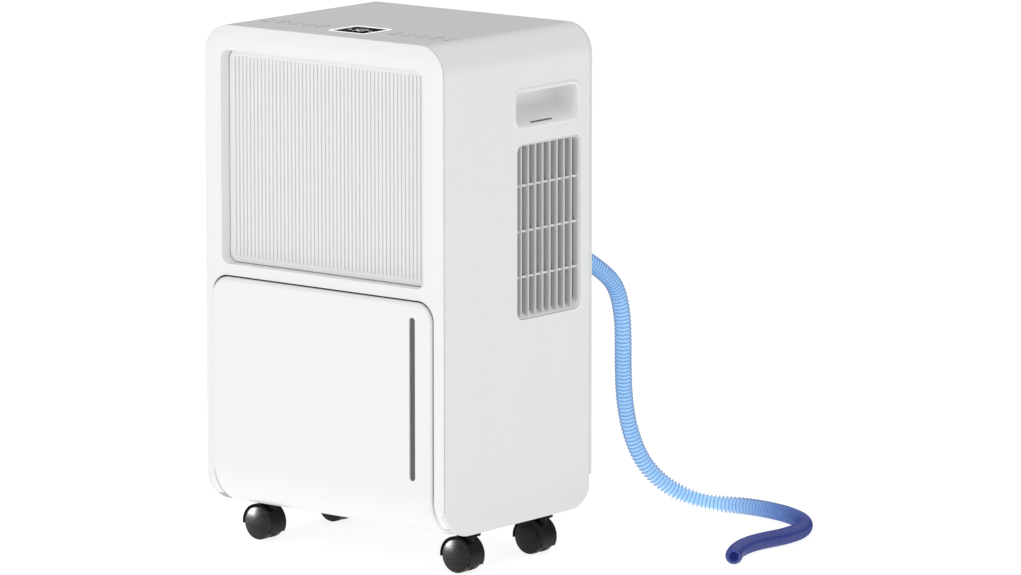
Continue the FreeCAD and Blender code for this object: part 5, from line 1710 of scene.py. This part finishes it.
@dataclass
class Studio:
    """The pale floor, the soft light and the camera."""

    azimuth: float = math.radians(38.567)
    elevation: float = math.radians(9.709)
    distance: float = 6.3
    focal_length: float = 234.45
    aim_right: float = 0.10642
    aim_up: float = -0.01042
    aim_height: float = 0.260
    floor_size: float = 40.0
    floor_tone: float = 0.3
    floor_glow: float = 0.86
    left_dim: float = 0.5
    sky_tones: tuple[tuple[float, float], ...] = (
        (0.0, 0.59), (0.12, 0.47), (0.42, 0.35), (0.78, 1.2), (1.0, 1.45),
    )
    front_lamp: Lamp = Lamp("front_lamp", (0.2, -3.4, 1.3), size=2.2, power=32.0)
    cap_lamp: Lamp = Lamp("cap_lamp", (-2.5, -1.6, 0.10), size=1.3, power=420.0)
    lamp_target: tuple[float, float, float] = (0, 0, 0.27)

    def axes(self) -> tuple[Vector, Vector, Vector]:
        """Gives the directions of the camera.

        Returns:
            Its back, right and up.
        """
        a, e = self.azimuth, self.elevation
        back = Vector((math.sin(a) * math.cos(e), -math.cos(a) * math.cos(e), math.sin(e)))
        right = Vector((math.cos(a), math.sin(a), 0))
        up = Vector((-math.sin(e) * math.sin(a), math.sin(e) * math.cos(a), math.cos(e)))
        return back, right, up

    def camera(self) -> None:
        """Sets the camera."""
        back, right, up = self.axes()
        aim = Vector((0, 0, self.aim_height)) + right * self.aim_right + up * self.aim_up
        lens = bpy.data.cameras.new("camera")
        lens.lens = self.focal_length
        lens.sensor_width = 36.0
        lens.clip_end = 100.0
        camera = link("camera", lens)
        turn = Matrix((right, up, back)).transposed().to_4x4()
        camera.matrix_world = Matrix.Translation(aim + back * self.distance) @ turn
        bpy.context.scene.camera = camera

    def floor(self) -> None:
        """Lays the floor."""
        sculpt = bmesh.new()
        bmesh.ops.create_grid(sculpt, x_segments=8, y_segments=8, size=self.floor_size / 2)
        floor = to_piece("studio_floor", sculpt)
        paper = StudioPaper("studio_paper", grey(self.floor_tone), self.floor_glow)
        floor.data.materials.append(paper.make())

    def hang(self, lamp: Lamp) -> bpy.types.Object:
        """Hangs one lamp so that it faces the machine.

        Args:
            lamp: Its place, size and power.

        Returns:
            The lamp's object.
        """
        light = bpy.data.lights.new(lamp.name, "AREA")
        light.shape = "SQUARE"
        light.size = lamp.size
        light.energy = lamp.power
        holder = link(lamp.name, light)
        holder.location = lamp.place
        aim = Vector(self.lamp_target) - Vector(lamp.place)
        holder.rotation_euler = aim.to_track_quat("-Z", "Y").to_euler()
        return holder

    def shine_on(self, pieces: Sequence[bpy.types.Object]) -> None:
        """Hangs a low lamp on the left that lights a few pieces alone.

        Args:
            pieces: The pieces that it lights.
        """
        lamp = self.hang(self.cap_lamp)
        chosen = bpy.data.collections.new("lit_by_cap_lamp")
        for piece in pieces:
            chosen.objects.link(piece)
        lamp.light_linking.receiver_collection = chosen

    def sky(self) -> None:
        """Lights the room evenly, darker between the horizon and the ceiling, and shows white behind."""
        world = bpy.data.worlds.new("studio")
        bpy.context.scene.world = world
        world.use_nodes = True
        sheet = NodeSheet(world.node_tree)
        spot = sheet.add("ShaderNodeTexCoord", output="Generated")
        height = sheet.add("ShaderNodeSeparateXYZ", inputs={0: spot}, output="Z")
        stops = [(place, grey(tone)) for place, tone in self.sky_tones]
        tone = sheet.add("ShaderNodeValToRGB", {"stops": stops}, {"Fac": height}, output="Color")
        across = sheet.add("ShaderNodeSeparateXYZ", inputs={0: spot}, output="X")
        strength = self.left_dim + (across * 0.5 + 0.5) * (1 - self.left_dim)
        room = sheet.add("ShaderNodeBackground", inputs={"Color": tone, "Strength": strength})
        white = sheet.add("ShaderNodeBackground", inputs={"Color": grey(1.0), "Strength": 1.0})
        seen = sheet.add("ShaderNodeLightPath", output="Is Camera Ray")
        both = sheet.add("ShaderNodeMixShader", inputs={0: seen, 1: room, 2: white})
        sheet.add("ShaderNodeOutputWorld", inputs={"Surface": both})

    def build(self) -> None:
        """Sets the stage."""
        self.camera()
        self.floor()
        self.sky()
        self.hang(self.front_lamp)
        view = bpy.context.scene.view_settings
        view.view_transform = "Standard"
        log.info("studio set")


def main() -> None:
    """Builds the machine and its stage."""
    studio = Studio()
    casters = [Caster(name) for name in ("front_left", "front_right", "rear_left", "rear_right")]
    parts = (
        studio, DrainHose(), Cabinet(), InletGrille(), WaterTank(), HandHold(1), HandHold(-1), AirOutlet(),
        ControlPanel(), *casters, Workings(),
    )
    for part in parts:
        part.build()
        log.info("%s done", type(part).__name__)
    studio.shine_on([caster.cap for caster in casters[:2]])


if __name__ == "__main__":
    main()
